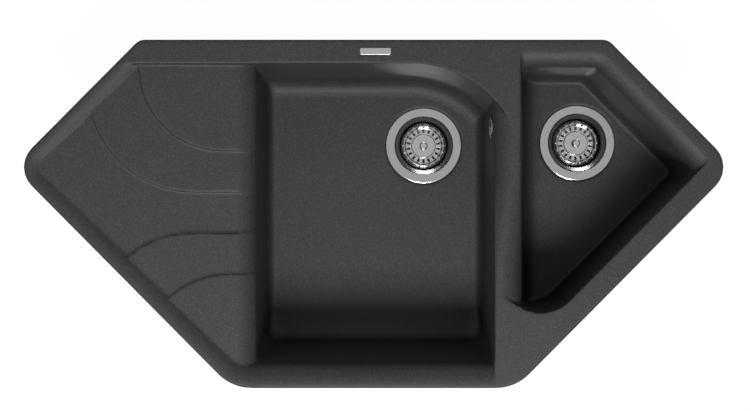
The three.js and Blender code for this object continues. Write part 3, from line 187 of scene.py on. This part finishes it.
class Finish:
    """A procedural material, built up node by node on Object coordinates."""

    def __init__(self, name, base, roughness, metallic=0.0, ior=1.5):
        self.material = bpy.data.materials.new(f"{name}_finish")
        self.material.use_nodes = True
        self.tree = self.material.node_tree
        self.surface = self.tree.nodes["Principled BSDF"]
        self.set("Base Color", (*base, 1))
        self.set("Roughness", roughness)
        self.set("Metallic", metallic)
        self.set("IOR", ior)
        self.place = self.node("ShaderNodeTexCoord", output="Object")

    def node(self, kind, values=None, output=0, **settings):
        made = self.tree.nodes.new(kind)
        for key, value in settings.items():
            setattr(made, key, value)
        for key, value in (values or {}).items():
            self.feed(made.inputs[key], value)
        return Wire(self, made.outputs[output])

    def feed(self, socket, value):
        if isinstance(value, Wire):
            self.tree.links.new(value.output, socket)
        else:
            socket.default_value = value

    def set(self, channel, value):
        self.feed(self.surface.inputs[channel], value)

    def centred(self, centre):
        """Object coordinates measured from a centre."""
        values = {"Vector": self.place, "Location": tuple(-c for c in centre)}
        return self.node("ShaderNodeMapping", values, vector_type="POINT")

    def stretched(self, vector, scale):
        return self.node("ShaderNodeVectorMath", {0: vector, 1: scale}, operation="MULTIPLY")

    def noise(self, width, detail=2.0, vector=None):
        """Soft noise whose lumps are about as wide as given, in metres."""
        values = {"Vector": vector or self.place, "Scale": 1 / width, "Detail": detail}
        return self.node("ShaderNodeTexNoise", values, output="Fac")

    def cells(self, width):
        """A random value for each small grain."""
        values = {"Vector": self.place, "Scale": 1 / width}
        grains = self.node("ShaderNodeTexVoronoi", values, output="Color")
        return self.node("ShaderNodeSeparateColor", {"Color": grains})

    def mix(self, share, first, second):
        values = {0: share, 6: self.rgba(first), 7: self.rgba(second)}
        return self.node("ShaderNodeMix", values, output=2, data_type="RGBA")

    @staticmethod
    def rgba(value):
        return value if isinstance(value, Wire) else (*value, 1)

    def bump(self, height, depth):
        """Raises the surface by up to depth, in metres, where height is 1."""
        values = {"Height": height * depth, "Strength": 1.0, "Distance": 1.0}
        normal = self.node("ShaderNodeBump", values)
        self.set("Normal", normal)


def tinted(base, factor):
    return tuple(min(c * factor, 1) for c in base)


# ------------------------------------------------------------------ finishes


def granite():
    """Dark composite: a satin binder with pale and black grains."""
    s = bpy.context.scene.sink_granite
    f = Finish("granite", s.base, s.roughness)
    f.set("Specular IOR Level", 0.3)
    grain = f.cells(s.grain)
    fine = f.noise(s.grain * 0.8, 3)
    cloud = f.noise(90 * MM, 3)
    binder = f.mix(cloud.spread(0.35, 0.65), tinted(s.base, 0.94), tinted(s.base, 1.08))
    speckled = f.mix(grain.spread(0.6, 1.0) * 0.26, binder, s.fleck)
    dark = f.mix((1 - grain).spread(0.6, 1.0) * 0.45, speckled, tinted(s.base, 0.3))
    f.set("Base Color", dark)
    f.set("Roughness", s.roughness + (fine - 0.5) * 0.22)
    f.bump(fine.spread(0.25, 0.75) * 0.7 + grain * 0.3, s.relief)
    return f.material


def ringed_steel(name, centre):
    """Steel brushed in circles round a strainer's centre."""
    s = bpy.context.scene.sink_steel
    f = Finish(name, s.brushed, 0.14, 1)
    flat = f.stretched(f.centred(centre), (1, 1, 0))
    radius = f.node("ShaderNodeVectorMath", {0: flat}, output="Value", operation="LENGTH")
    across = f.node("ShaderNodeCombineXYZ", {"X": radius})
    lines = f.noise(s.line, 3, across)
    blur = f.noise(12 * MM, 2)
    dull, bright = tinted(s.brushed, 0.88), tinted(s.brushed, 1.08)
    f.set("Base Color", f.mix(lines.spread(0.3, 0.7), dull, bright))
    f.set("Roughness", 0.1 + lines * 0.06 + blur * 0.04)
    f.bump(lines, 0.0015 * MM)
    return f.material


def pressed_steel():
    """Polished pressed steel with a faint water haze."""
    s = bpy.context.scene.sink_steel
    f = Finish("pressed_steel", s.polished, 0.12, 1)
    haze = f.noise(8 * MM, 4)
    fine = f.noise(0.7 * MM, 2)
    f.set("Base Color", f.mix(haze.spread(0.3, 0.7), tinted(s.polished, 0.9), s.polished))
    f.set("Roughness", 0.07 + haze * 0.09)
    f.bump(fine, 0.0015 * MM)
    return f.material


def brushed_steel():
    """Steel brushed in straight lines, for the plate on the ledge."""
    s = bpy.context.scene.sink_steel
    f = Finish("brushed_steel", s.polished, 0.17, 1)
    lines = f.noise(s.line, 3, f.stretched(f.place, (0.03, 1, 1)))
    dull, bright = tinted(s.polished, 0.86), tinted(s.polished, 1.05)
    f.set("Base Color", f.mix(lines.spread(0.3, 0.7), dull, bright))
    f.set("Roughness", 0.12 + lines * 0.1)
    f.bump(lines, 0.002 * MM)
    return f.material


def zinc():
    """Zinc plating: a pale spangle with duller patches."""
    s = bpy.context.scene.sink_steel
    f = Finish("zinc_steel", s.zinc, 0.4, 1)
    spangle = f.cells(2.2 * MM)
    dull = f.noise(6 * MM, 3)
    f.set("Base Color", f.mix(spangle * 0.6, s.zinc, tinted(s.zinc, 1.3)))
    f.set("Roughness", 0.3 + dull * 0.25)
    f.bump(dull, 0.02 * MM)
    return f.material


def moulded(name="black_plastic"):
    """Black plastic with a fine spark-eroded texture and faint flow marks."""
    s = bpy.context.scene.sink_plastic
    f = Finish(name, s.moulded, 0.45)
    fine = f.noise(0.6 * MM, 2)
    flow = f.noise(30 * MM, 3, f.stretched(f.place, (1, 1, 0.3)))
    f.set("Base Color", f.mix(flow.spread(0.3, 0.7), s.moulded, tinted(s.moulded, 1.6)))
    f.set("Roughness", 0.4 + flow * 0.16)
    f.bump(fine, 0.02 * MM)
    return f.material


def rubber():
    """Matte black rubber with a dusty bloom."""
    s = bpy.context.scene.sink_plastic
    f = Finish("rubber", s.rubber, 0.75)
    bloom = f.noise(10 * MM, 4)
    fine = f.noise(0.5 * MM, 2)
    f.set("Base Color", f.mix(bloom.spread(0.4, 0.75), s.rubber, tinted(s.rubber, 2.2)))
    f.set("Roughness", 0.66 + bloom * 0.2)
    f.bump(fine, 0.03 * MM)
    return f.material


def foam():
    """Closed-cell foam strip."""
    s = bpy.context.scene.sink_plastic
    f = Finish("seal_foam", s.foam, 0.95)
    pores = f.cells(0.9 * MM)
    f.set("Base Color", f.mix(pores.spread(0.2, 0.9), tinted(s.foam, 0.6), tinted(s.foam, 1.3)))
    f.set("Roughness", 0.86 + pores * 0.12)
    f.bump(pores, 0.12 * MM)
    return f.material


# ------------------------------------------------------------------ mesh tools


def merged(node):
    """A copy of a CAD node's mesh with its loose triangles joined and its flats made whole."""
    bm = bmesh.new()
    bm.from_mesh(frame["nodes"][node].data)
    bmesh.ops.remove_doubles(bm, verts=bm.verts, dist=1e-6)
    bmesh.ops.dissolve_limit(bm, angle_limit=math.radians(0.6), verts=bm.verts, edges=bm.edges)
    return bm


def soften(bm, width, sharp=32):
    """Rounds every edge that turns by more than the sharp angle, in degrees."""
    turn = math.radians(sharp)
    edges = [e for e in bm.edges if len(e.link_faces) == 2 and e.calc_face_angle(0) > turn]
    bmesh.ops.bevel(
        bm, geom=edges, offset=width, offset_type="OFFSET", segments=2, profile=0.5,
        affect="EDGES", clamp_overlap=True, material=-1,
    )


def spun(bm, profile, centre, turns):
    """Turns a closed profile of (radius, height) points once about a vertical axis."""
    verts = [bm.verts.new((centre[0] + r, centre[1], centre[2] + z)) for r, z in profile]
    edges = [bm.edges.new((verts[i], verts[(i + 1) % len(verts)])) for i in range(len(verts))]
    bmesh.ops.spin(
        bm, geom=verts + edges, cent=centre, axis=(0, 0, 1), angle=math.tau, steps=turns,
        use_merge=True,
    )
    bmesh.ops.remove_doubles(bm, verts=bm.verts, dist=1e-7)


def profile(*points):
    """Points given in millimetres, in metres."""
    return [(r * MM, z * MM) for r, z in points]


def bead_profile(radius, height, thickness, steps=10):
    """A round section for a rolled edge."""
    turns = (math.tau * step / steps for step in range(steps))
    return [(radius + thickness * math.cos(t), height + thickness * math.sin(t)) for t in turns]


def make_piece(name, bm, material, node, smooth=30):
    """Turns a bmesh into a piece that stands for a CAD node and rides on its body."""
    bmesh.ops.recalc_face_normals(bm, faces=bm.faces)
    mesh = bpy.data.meshes.new(name)
    bm.to_mesh(mesh)
    bm.free()
    return settle_piece(bpy.data.objects.new(name, mesh), material, node, smooth)


def settle_piece(piece, material, node, smooth):
    if piece.name not in bpy.context.scene.collection.objects:
        bpy.context.scene.collection.objects.link(piece)
    piece.data.shade_smooth()
    piece.data.set_sharp_from_angle(angle=math.radians(smooth))
    keep_flats_flat(piece)
    piece.data.materials.clear()
    piece.data.materials.append(material)
    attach(piece, BODY_OF[node])
    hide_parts(node)
    slot_of(node)
    return piece


def keep_flats_flat(piece):
    """Lets the broad faces set the shading, so that a rounded edge does not bend it."""
    weighted = piece.modifiers.new("Flats", "WEIGHTED_NORMAL")
    weighted.keep_sharp = True
    apply_modifiers(piece)


def apply_modifiers(piece):
    graph = bpy.context.evaluated_depsgraph_get()
    piece.data = bpy.data.meshes.new_from_object(piece.evaluated_get(graph))
    piece.modifiers.clear()


def slot_of(node):
    return next(s["material_slot"] for s in frame["record"]["subparts"] if s["node"] == node)


def dress(node, material, width, sharp=32, details=None):
    """A CAD node's own shape with its edges rounded, its curves smooth and any small details."""
    bm = merged(node)
    soften(bm, width, sharp)
    if details:
        details(bm)
    return make_piece(f"{node}_finished", bm, material, node)


def threads(bm, axis, radius, low, high, pitch, depth, turns):
    """Rounded thread crests round an upright axis, between two heights."""
    for ring in range(int((high - low) / pitch)):
        height = low + (ring + 0.5) * pitch
        spun(bm, bead_profile(radius, 0, depth, 6), (axis.x, axis.y, height), turns)


def grip_ribs(bm, centre, axis, radius, length, count, thickness):
    """Fine ribs along the outside of a nut, round its axis."""
    upright = axis.to_track_quat("Z", "Y").to_matrix().to_4x4()
    for rib in range(count):
        turn = math.tau * rib / count
        aside = Vector((math.cos(turn), math.sin(turn), 0)) * radius
        place = Matrix.Translation(centre) @ upright @ Matrix.Translation(aside)
        bmesh.ops.create_cone(
            bm, cap_ends=True, segments=8, radius1=thickness, radius2=thickness, depth=length,
            matrix=place,
        )


def material(name, make):
    """The named material, made the first time that it is asked for."""
    return bpy.data.materials.get(f"{name}_finish") or make()


def middle(node):
    low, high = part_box(node)
    return (Vector(low) + Vector(high)) / 2


# The pressed rings of a strainer's cup, as radius and height from the top of its flange
CUP_RINGS = profile(
    (45.8, 0.0), (44.4, -0.02), (44.0, -0.5), (43.6, -2.0), (42.7, -4.3), (41.4, -4.34),
    (41.2, -6.8), (40.0, -6.84), (39.8, -9.3), (38.6, -9.34), (38.4, -11.9), (37.2, -11.94),
    (36.9, -16.0), (36.4, -30.0), (36.0, -32.4), (35.2, -33.8), (34.2, -34.4), (30.5, -34.7),
    (30.5, -36.0), (36.7, -35.9), (37.8, -14.6), (44.4, -2.3), (45.8, -0.9),
)
BASKET_EDGE_RADIUS = 29.6 * MM
BASKET_BUMP_RADIUS = 30.9 * MM
BASKET_BUMPS = 18

# The edges that count as the foot of a drainboard step, and the points that make a line of them
STEP_CORNER = math.radians(55)
STEP_UPRIGHT = 0.8
STEP_TALLEST = 2.6 * MM
STEP_LINE_POINTS = 12

# The step lines' way over the rolled edge, in degrees, and how much they thin out on it
LINE_TURN_STEP = 8
LINE_TURN_END = 72
LINE_THINNING = 0.7

# The thread of an outlet, from its end upwards, and the ribs round a pipe nut
OUTLET_RADIUS = 23.9 * MM
OUTLET_THREAD_FROM = 1.5 * MM
OUTLET_THREAD_TO = 20 * MM
OUTLET_THREAD_DEPTH = 0.8 * MM
OUTLET_TURNS = 64
NUT_RIBS = 24
NUT_RIB_RADIUS = 0.7 * MM
NUT_RIB_LENGTH = 11 * MM
NUT_RIB_SUNK = 0.35 * MM

# The clip screws' thread and the bores that they rise into
CLIP_SCREW_RADIUS = 2.5 * MM
CLIP_HEAD_HEIGHT = 3.5 * MM
CLIP_PLAIN_TIP = 1.5 * MM
CLIP_THREAD_PITCH = 1.25 * MM
CLIP_THREAD_DEPTH = 0.3 * MM
CLIP_THREAD_TURNS = 20
CLIP_BORE_RADIUS = 2.8 * MM
CLIP_BORE_TURNS = 24
CLIP_BORE_ABOVE_TIP = 17 * MM
CLIP_BORE_BELOW_TIP = 7 * MM

# The stage, in metres
KEY_PLACE = (0, -1.75, 2.7)
SENSOR_WIDTH = 36
FARTHEST_SEEN = 20
FLOOR_HALF_WIDTH = 6
FLOOR_BELOW = 0.5 * MM
FLOOR_GLOW = 1.12
FLOOR_GLOW_SHARE = 0.88


# ------------------------------------------------------------------ operators


class SINK_OT_basin(Operator):
    """Rounds the moulded edges of the granite body and gives it its speckle"""

    bl_idname = "sink.basin"
    bl_label = "Granite body"

    def execute(self, context):
        s = context.scene.sink_granite
        bm = merged("sink_body")
        chains = self.chains(self.step_feet(bm))
        feet = [line for line in chains if len(line) > STEP_LINE_POINTS]
        bmesh.ops.triangulate(bm, faces=bm.faces)
        mesh = bpy.data.meshes.new("granite_body")
        bm.to_mesh(mesh)
        bm.free()
        body = bpy.data.objects.new("granite_body", mesh)
        context.scene.collection.objects.link(body)
        remesh = body.modifiers.new("Voxels", "REMESH")
        remesh.mode = "VOXEL"
        remesh.voxel_size = s.voxel
        smooth = body.modifiers.new("Rounding", "SMOOTH")
        smooth.factor = 0.5
        smooth.iterations = s.rounding
        faces = len(body.evaluated_get(context.evaluated_depsgraph_get()).data.polygons)
        thin = body.modifiers.new("Thinning", "DECIMATE")
        thin.ratio = min(s.triangles / (2 * faces), 1)
        cutter = self.cutter(context, feet, s)
        cuts = body.modifiers.new("Step lines and bores", "BOOLEAN")
        cuts.object = cutter
        cuts.operation = "DIFFERENCE"
        cuts.solver = "EXACT"
        apply_modifiers(body)
        bpy.data.objects.remove(cutter)
        settle_piece(body, material("granite", granite), "sink_body", 45)
        return {"FINISHED"}

    def step_feet(self, bm):
        """The edges in the inner corners of the low steps across the drainboard."""
        feet = []
        for edge in bm.edges:
            if len(edge.link_faces) != 2 or edge.calc_face_angle_signed() > -STEP_CORNER:
                continue
            riser = min(edge.link_faces, key=lambda face: abs(face.normal.z))
            upright = [e for e in riser.edges if self.steepness(e) > STEP_UPRIGHT]
            if upright and max(e.calc_length() for e in upright) < STEP_TALLEST:
                feet.append(edge)
        return feet

    @staticmethod
    def steepness(edge):
        first, second = (v.co for v in edge.verts)
        return abs(first.z - second.z) / max(edge.calc_length(), 1e-9)

    @staticmethod
    def chains(feet):
        """The same edges, joined end to end into lines of points."""
        left = set(feet)
        ends = {}
        for edge in feet:
            for vert in edge.verts:
                ends.setdefault(vert, []).append(edge)
        lines = []
        for start in [vert for vert, edges in ends.items() if len(edges) == 1]:
            vert, line = start, [start.co.copy()]
            while True:
                onward = [edge for edge in ends[vert] if edge in left]
                if not onward:
                    break
                left.discard(onward[0])
                vert = onward[0].other_vert(vert)
                line.append(vert.co.copy())
            if len(line) > 1:
                lines.append(line)
        return lines

    @staticmethod
    def over_the_roll(line, roll):
        """The line led on over the rolled edge of the drainboard, where it thins out."""
        line = line if line[-1].x > line[0].x else line[::-1]
        crest = line[-1]
        whole = [(place, 1.0) for place in line]
        for turn in range(LINE_TURN_STEP, LINE_TURN_END + 1, LINE_TURN_STEP):
            angle = math.radians(turn)
            along = Vector((roll * math.sin(angle), 0, -roll * (1 - math.cos(angle))))
            whole.append((crest + along, 1 - LINE_THINNING * turn / LINE_TURN_END))
        return whole

    def cutter(self, context, lines, s):
        """Fine rods that cut the dark line at the foot of each step, and the bores' drills."""
        curve = bpy.data.curves.new("step_lines", "CURVE")
        curve.dimensions = "3D"
        curve.bevel_depth = s.quirk
        curve.bevel_resolution = 1
        curve.use_fill_caps = True
        lowest = min(place.z for line in lines for place in line)
        for line in lines:
            crest = max(line, key=lambda place: place.x)
            whole = self.over_the_roll(line, s.roll + crest.z - lowest)
            spline = curve.splines.new("POLY")
            spline.points.add(len(whole) - 1)
            for point, (place, share) in zip(spline.points, whole):
                point.co = (place.x, place.y, place.z + s.quirk, 1)
                point.radius = share
        drawn = bpy.data.objects.new("step_lines", curve)
        context.scene.collection.objects.link(drawn)
        graph = context.evaluated_depsgraph_get()
        mesh = bpy.data.meshes.new_from_object(drawn.evaluated_get(graph))
        bpy.data.objects.remove(drawn)
        self.add_drills(mesh)
        cutter = bpy.data.objects.new("rods_and_drills", mesh)
        context.scene.collection.objects.link(cutter)
        cutter.hide_render = True
        return cutter

    @staticmethod
    def add_drills(mesh):
        """Opens the clip screws' bores again, because the voxels leave them too narrow."""
        bm = bmesh.new()
        bm.from_mesh(mesh)
        for node in CLIPS:
            if node.endswith("_screw"):
                axis, tip = middle(node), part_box(node)[1][2]
                bottom, top = tip - CLIP_BORE_BELOW_TIP, tip + CLIP_BORE_ABOVE_TIP
                bmesh.ops.create_cone(
                    bm, cap_ends=True, segments=CLIP_BORE_TURNS, radius1=CLIP_BORE_RADIUS,
                    radius2=CLIP_BORE_RADIUS, depth=top - bottom,
                    matrix=Matrix.Translation((axis.x, axis.y, (bottom + top) / 2)),
                )
        bm.to_mesh(mesh)
        bm.free()


class SINK_OT_badge(Operator):
    """Makes the small bare plate on the tap ledge"""

    bl_idname = "sink.badge"
    bl_label = "Bare plate"

    def execute(self, context):
        dress("badge_plate", material("brushed_steel", brushed_steel), 0.2 * MM)
        return {"FINISHED"}


class SINK_OT_strainers(Operator):
    """Turns the flanges and cups, and finishes the baskets and their posts"""

    bl_idname = "sink.strainers"
    bl_label = "Strainers"

    def execute(self, context):
        steel = context.scene.sink_steel
        for bowl in BOWLS:
            centre = middle(f"{bowl}_strainer_flange")
            ringed = ringed_steel(f"{bowl}_ringed_steel", centre)
            self.flange(f"{bowl}_strainer_flange", ringed, steel)
            self.basket(f"{bowl}_basket", steel)
            dress(f"{bowl}_basket_post", material("pressed_steel", pressed_steel), 0.35 * MM)
            dress(f"{bowl}_clamp_screw", material("zinc_steel", zinc), 0.25 * MM)
            dress(f"{bowl}_stopper", material("rubber", rubber), 0.3 * MM)
        return {"FINISHED"}

    def flange(self, node, ringed, steel):
        """The flange and its cup, with the rings that are pressed into the cup's wall."""
        bm = merged(node)
        soften(bm, 0.25 * MM)
        centre, top = middle(node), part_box(node)[1][2]
        spun(bm, CUP_RINGS, (centre.x, centre.y, top), steel.turns)
        make_piece(f"{node}_finished", bm, ringed, node)

    def basket(self, node, steel):
        """The basket, with a rolled edge and pressed bumps round its rim."""
        bm = merged(node)
        soften(bm, 0.15 * MM)
        centre, top = middle(node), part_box(node)[1][2]
        edge = bead_profile(BASKET_EDGE_RADIUS, -steel.bead, steel.bead)
        spun(bm, edge, (centre.x, centre.y, top), steel.turns)
        for bump in range(BASKET_BUMPS):
            turn = math.tau * (bump + 0.5) / BASKET_BUMPS + math.pi / 2
            arm = Vector((math.cos(turn), math.sin(turn), 0)) * BASKET_BUMP_RADIUS
            place = Vector((centre.x, centre.y, top - steel.tooth)) + arm
            bmesh.ops.create_uvsphere(
                bm, u_segments=12, v_segments=8, radius=steel.tooth,
                matrix=Matrix.Translation(place),
            )
        make_piece(f"{node}_finished", bm, material("pressed_steel", pressed_steel), node)


class SINK_OT_overflow(Operator):
    """Finishes the overflow's rose, screw, elbow, pipe and nuts"""

    bl_idname = "sink.overflow"
    bl_label = "Overflow"

    def execute(self, context):
        dress("overflow_rose", material("pressed_steel", pressed_steel), 0.25 * MM)
        dress("overflow_screw", material("pressed_steel", pressed_steel), 0.15 * MM)
        plastic = material("black_plastic", moulded)
        for node in ("overflow_elbow", "overflow_pipe"):
            dress(node, plastic, 0.4 * MM)
        run = middle("overflow_waste_nut") - middle("main_strainer_flange")
        self.nut("overflow_top_nut", Vector((0, 0, 1)), plastic)
        self.nut("overflow_waste_nut", Vector((run.x, run.y, 0)).normalized(), plastic)
        for node in ("overflow_seal", "overflow_top_ring", "overflow_waste_ring"):
            dress(node, material("rubber", rubber), 0.2 * MM)
        return {"FINISHED"}

    def nut(self, node, axis, plastic):
        """A pipe nut with ribs to grip it by."""
        low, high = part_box(node)
        radius = (high[2] - low[2]) / 2 if axis.z == 0 else (high[0] - low[0]) / 2

        def ribs(bm):
            reach = radius - NUT_RIB_SUNK
            grip_ribs(bm, middle(node), axis, reach, NUT_RIB_LENGTH, NUT_RIBS, NUT_RIB_RADIUS)

        dress(node, plastic, 0.4 * MM, details=ribs)


class SINK_OT_wastes(Operator):
    """Finishes the waste bodies, their gaskets and the seal under the rim"""

    bl_idname = "sink.wastes"
    bl_label = "Wastes and seals"

    def execute(self, context):
        plastic = context.scene.sink_plastic
        for bowl in BOWLS:
            axis = middle(f"{bowl}_strainer_flange")
            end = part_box(f"{bowl}_waste_body")[0][2]

            def outlet(bm, axis=axis, end=end):
                low, high = end + OUTLET_THREAD_FROM, end + OUTLET_THREAD_TO
                threads(
                    bm, axis, OUTLET_RADIUS, low, high, plastic.pitch, OUTLET_THREAD_DEPTH,
                    OUTLET_TURNS,
                )

            black = material("black_plastic", moulded)
            dress(f"{bowl}_waste_body", black, 0.5 * MM, details=outlet)
            dress(f"{bowl}_flange_gasket", material("rubber", rubber), 0.2 * MM)
            dress(f"{bowl}_waste_gasket", material("rubber", rubber), 0.2 * MM)
        dress("rim_seal", material("seal_foam", foam), 0.2 * MM)
        return {"FINISHED"}


class SINK_OT_clips(Operator):
    """Finishes the screws and claws of the worktop clips"""

    bl_idname = "sink.clips"
    bl_label = "Worktop clips"

    def execute(self, context):
        for node in CLIPS:
            thread = self.thread(node) if node.endswith("_screw") else None
            dress(node, material("zinc_steel", zinc), 0.3 * MM, details=thread)
        return {"FINISHED"}

    def thread(self, node):
        """The thread of a clip's screw, cut into its shank, with its crests at its radius."""
        low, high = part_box(node)
        axis = middle(node)
        root = CLIP_SCREW_RADIUS - CLIP_THREAD_DEPTH

        def cut(bm):
            bottom, top = low[2] + CLIP_HEAD_HEIGHT, high[2] - CLIP_PLAIN_TIP
            for vert in bm.verts:
                aside = Vector((vert.co.x - axis.x, vert.co.y - axis.y, 0))
                if vert.co.z > bottom and aside.length < CLIP_SCREW_RADIUS + 0.05 * MM:
                    vert.co -= aside * (CLIP_THREAD_DEPTH / CLIP_SCREW_RADIUS)
            threads(
                bm, axis, root, bottom, top, CLIP_THREAD_PITCH, CLIP_THREAD_DEPTH,
                CLIP_THREAD_TURNS,
            )

        return cut


class SINK_OT_stage(Operator):
    """Sets the floor, the soft light, the surroundings and the camera"""

    bl_idname = "sink.stage"
    bl_label = "Stage"

    def execute(self, context):
        s = context.scene.sink_stage
        context.scene.view_settings.view_transform = "Standard"
        self.camera(context, s)
        self.floor(context, s)
        self.lamp(context, "key", KEY_PLACE, s.key_width, s.key)
        self.surroundings(context, s)
        return {"FINISHED"}

    def camera(self, context, s):
        data = bpy.data.cameras.new("camera")
        data.sensor_width = SENSOR_WIDTH
        data.lens = data.sensor_width * s.camera_height / s.photo_width
        data.clip_end = FARTHEST_SEEN
        camera = bpy.data.objects.new("camera", data)
        rim = CAD_BOX[1][2]
        camera.location = (s.centre_x, s.centre_y, rim + s.camera_height)
        context.scene.collection.objects.link(camera)
        context.scene.camera = camera

    def floor(self, context, s):
        bm = bmesh.new()
        bmesh.ops.create_grid(bm, x_segments=1, y_segments=1, size=FLOOR_HALF_WIDTH)
        bmesh.ops.translate(bm, verts=bm.verts, vec=(0, 0, CAD_BOX[0][2] - FLOOR_BELOW))
        mesh = bpy.data.meshes.new("floor")
        bm.to_mesh(mesh)
        bm.free()
        floor = bpy.data.objects.new("floor", mesh)
        context.scene.collection.objects.link(floor)
        f = Finish("pale_floor", s.floor, 0.9)
        glow = f.node("ShaderNodeEmission", {"Color": (1, 1, 1, 1), "Strength": FLOOR_GLOW})
        rays = f.node("ShaderNodeLightPath", output="Is Camera Ray")
        base = Wire(f, f.surface.outputs[0])
        shown = f.node("ShaderNodeMixShader", {0: rays * FLOOR_GLOW_SHARE, 1: base, 2: glow})
        f.feed(f.tree.nodes["Material Output"].inputs["Surface"], shown)
        mesh.materials.append(f.material)

    def lamp(self, context, name, place, width, power):
        data = bpy.data.lights.new(name, "AREA")
        data.shape = "SQUARE"
        data.size = width
        data.energy = power
        lamp = bpy.data.objects.new(name, data)
        lamp.location = place
        lamp.rotation_euler = (-Vector(place)).to_track_quat("-Z", "Y").to_euler()
        context.scene.collection.objects.link(lamp)

    def surroundings(self, context, s):
        world = bpy.data.worlds.new("studio")
        world.use_nodes = True
        tree = world.node_tree
        background = tree.nodes["Background"]
        rays = tree.nodes.new("ShaderNodeLightPath")
        seen = tree.nodes.new("ShaderNodeMath")
        seen.operation = "MAXIMUM"
        tree.links.new(rays.outputs["Is Camera Ray"], seen.inputs[0])
        clear = tree.nodes.new("ShaderNodeMath")
        clear.operation = "MAXIMUM"
        tree.links.new(rays.outputs["Is Glossy Ray"], clear.inputs[0])
        tree.links.new(rays.outputs["Is Transmission Ray"], clear.inputs[1])
        tree.links.new(clear.outputs[0], seen.inputs[1])
        strength = tree.nodes.new("ShaderNodeMapRange")
        strength.inputs["To Min"].default_value = s.fill
        tree.links.new(seen.outputs[0], strength.inputs["Value"])
        tree.links.new(strength.outputs[0], background.inputs["Strength"])
        background.inputs["Color"].default_value = (1, 1, 1, 1)
        context.scene.world = world


class SINK_PT_panel(Panel):
    """Lists the sizes, the colours and the steps"""

    bl_idname = "SINK_PT_panel"
    bl_label = "Corner Sink"
    bl_space_type = "VIEW_3D"
    bl_region_type = "UI"
    bl_category = "Corner Sink"

    def draw(self, context):
        for operator in OPERATORS:
            self.layout.operator(operator.bl_idname)
        for name in GROUPS:
            group = getattr(context.scene, name)
            box = self.layout.box()
            for prop in group.bl_rna.properties:
                if prop.identifier not in ("rna_type", "name"):
                    box.prop(group, prop.identifier)


GROUPS = {
    "sink_granite": GraniteSettings,
    "sink_steel": SteelSettings,
    "sink_plastic": PlasticSettings,
    "sink_stage": StageSettings,
}
OPERATORS = (
    SINK_OT_stage,
    SINK_OT_basin,
    SINK_OT_badge,
    SINK_OT_strainers,
    SINK_OT_overflow,
    SINK_OT_wastes,
    SINK_OT_clips,
)


def register():
    for cls in (*GROUPS.values(), *OPERATORS, SINK_PT_panel):
        bpy.utils.register_class(cls)
    for name, group in GROUPS.items():
        setattr(bpy.types.Scene, name, PointerProperty(type=group))


def unregister():
    for name in GROUPS:
        delattr(bpy.types.Scene, name)
    for cls in (SINK_PT_panel, *reversed(OPERATORS), *reversed(list(GROUPS.values()))):
        bpy.utils.unregister_class(cls)


def main():
    register()
    for operator in OPERATORS:
        group, name = operator.bl_idname.split(".")
        getattr(getattr(bpy.ops, group), name)()


if __name__ == "__main__":
    main()
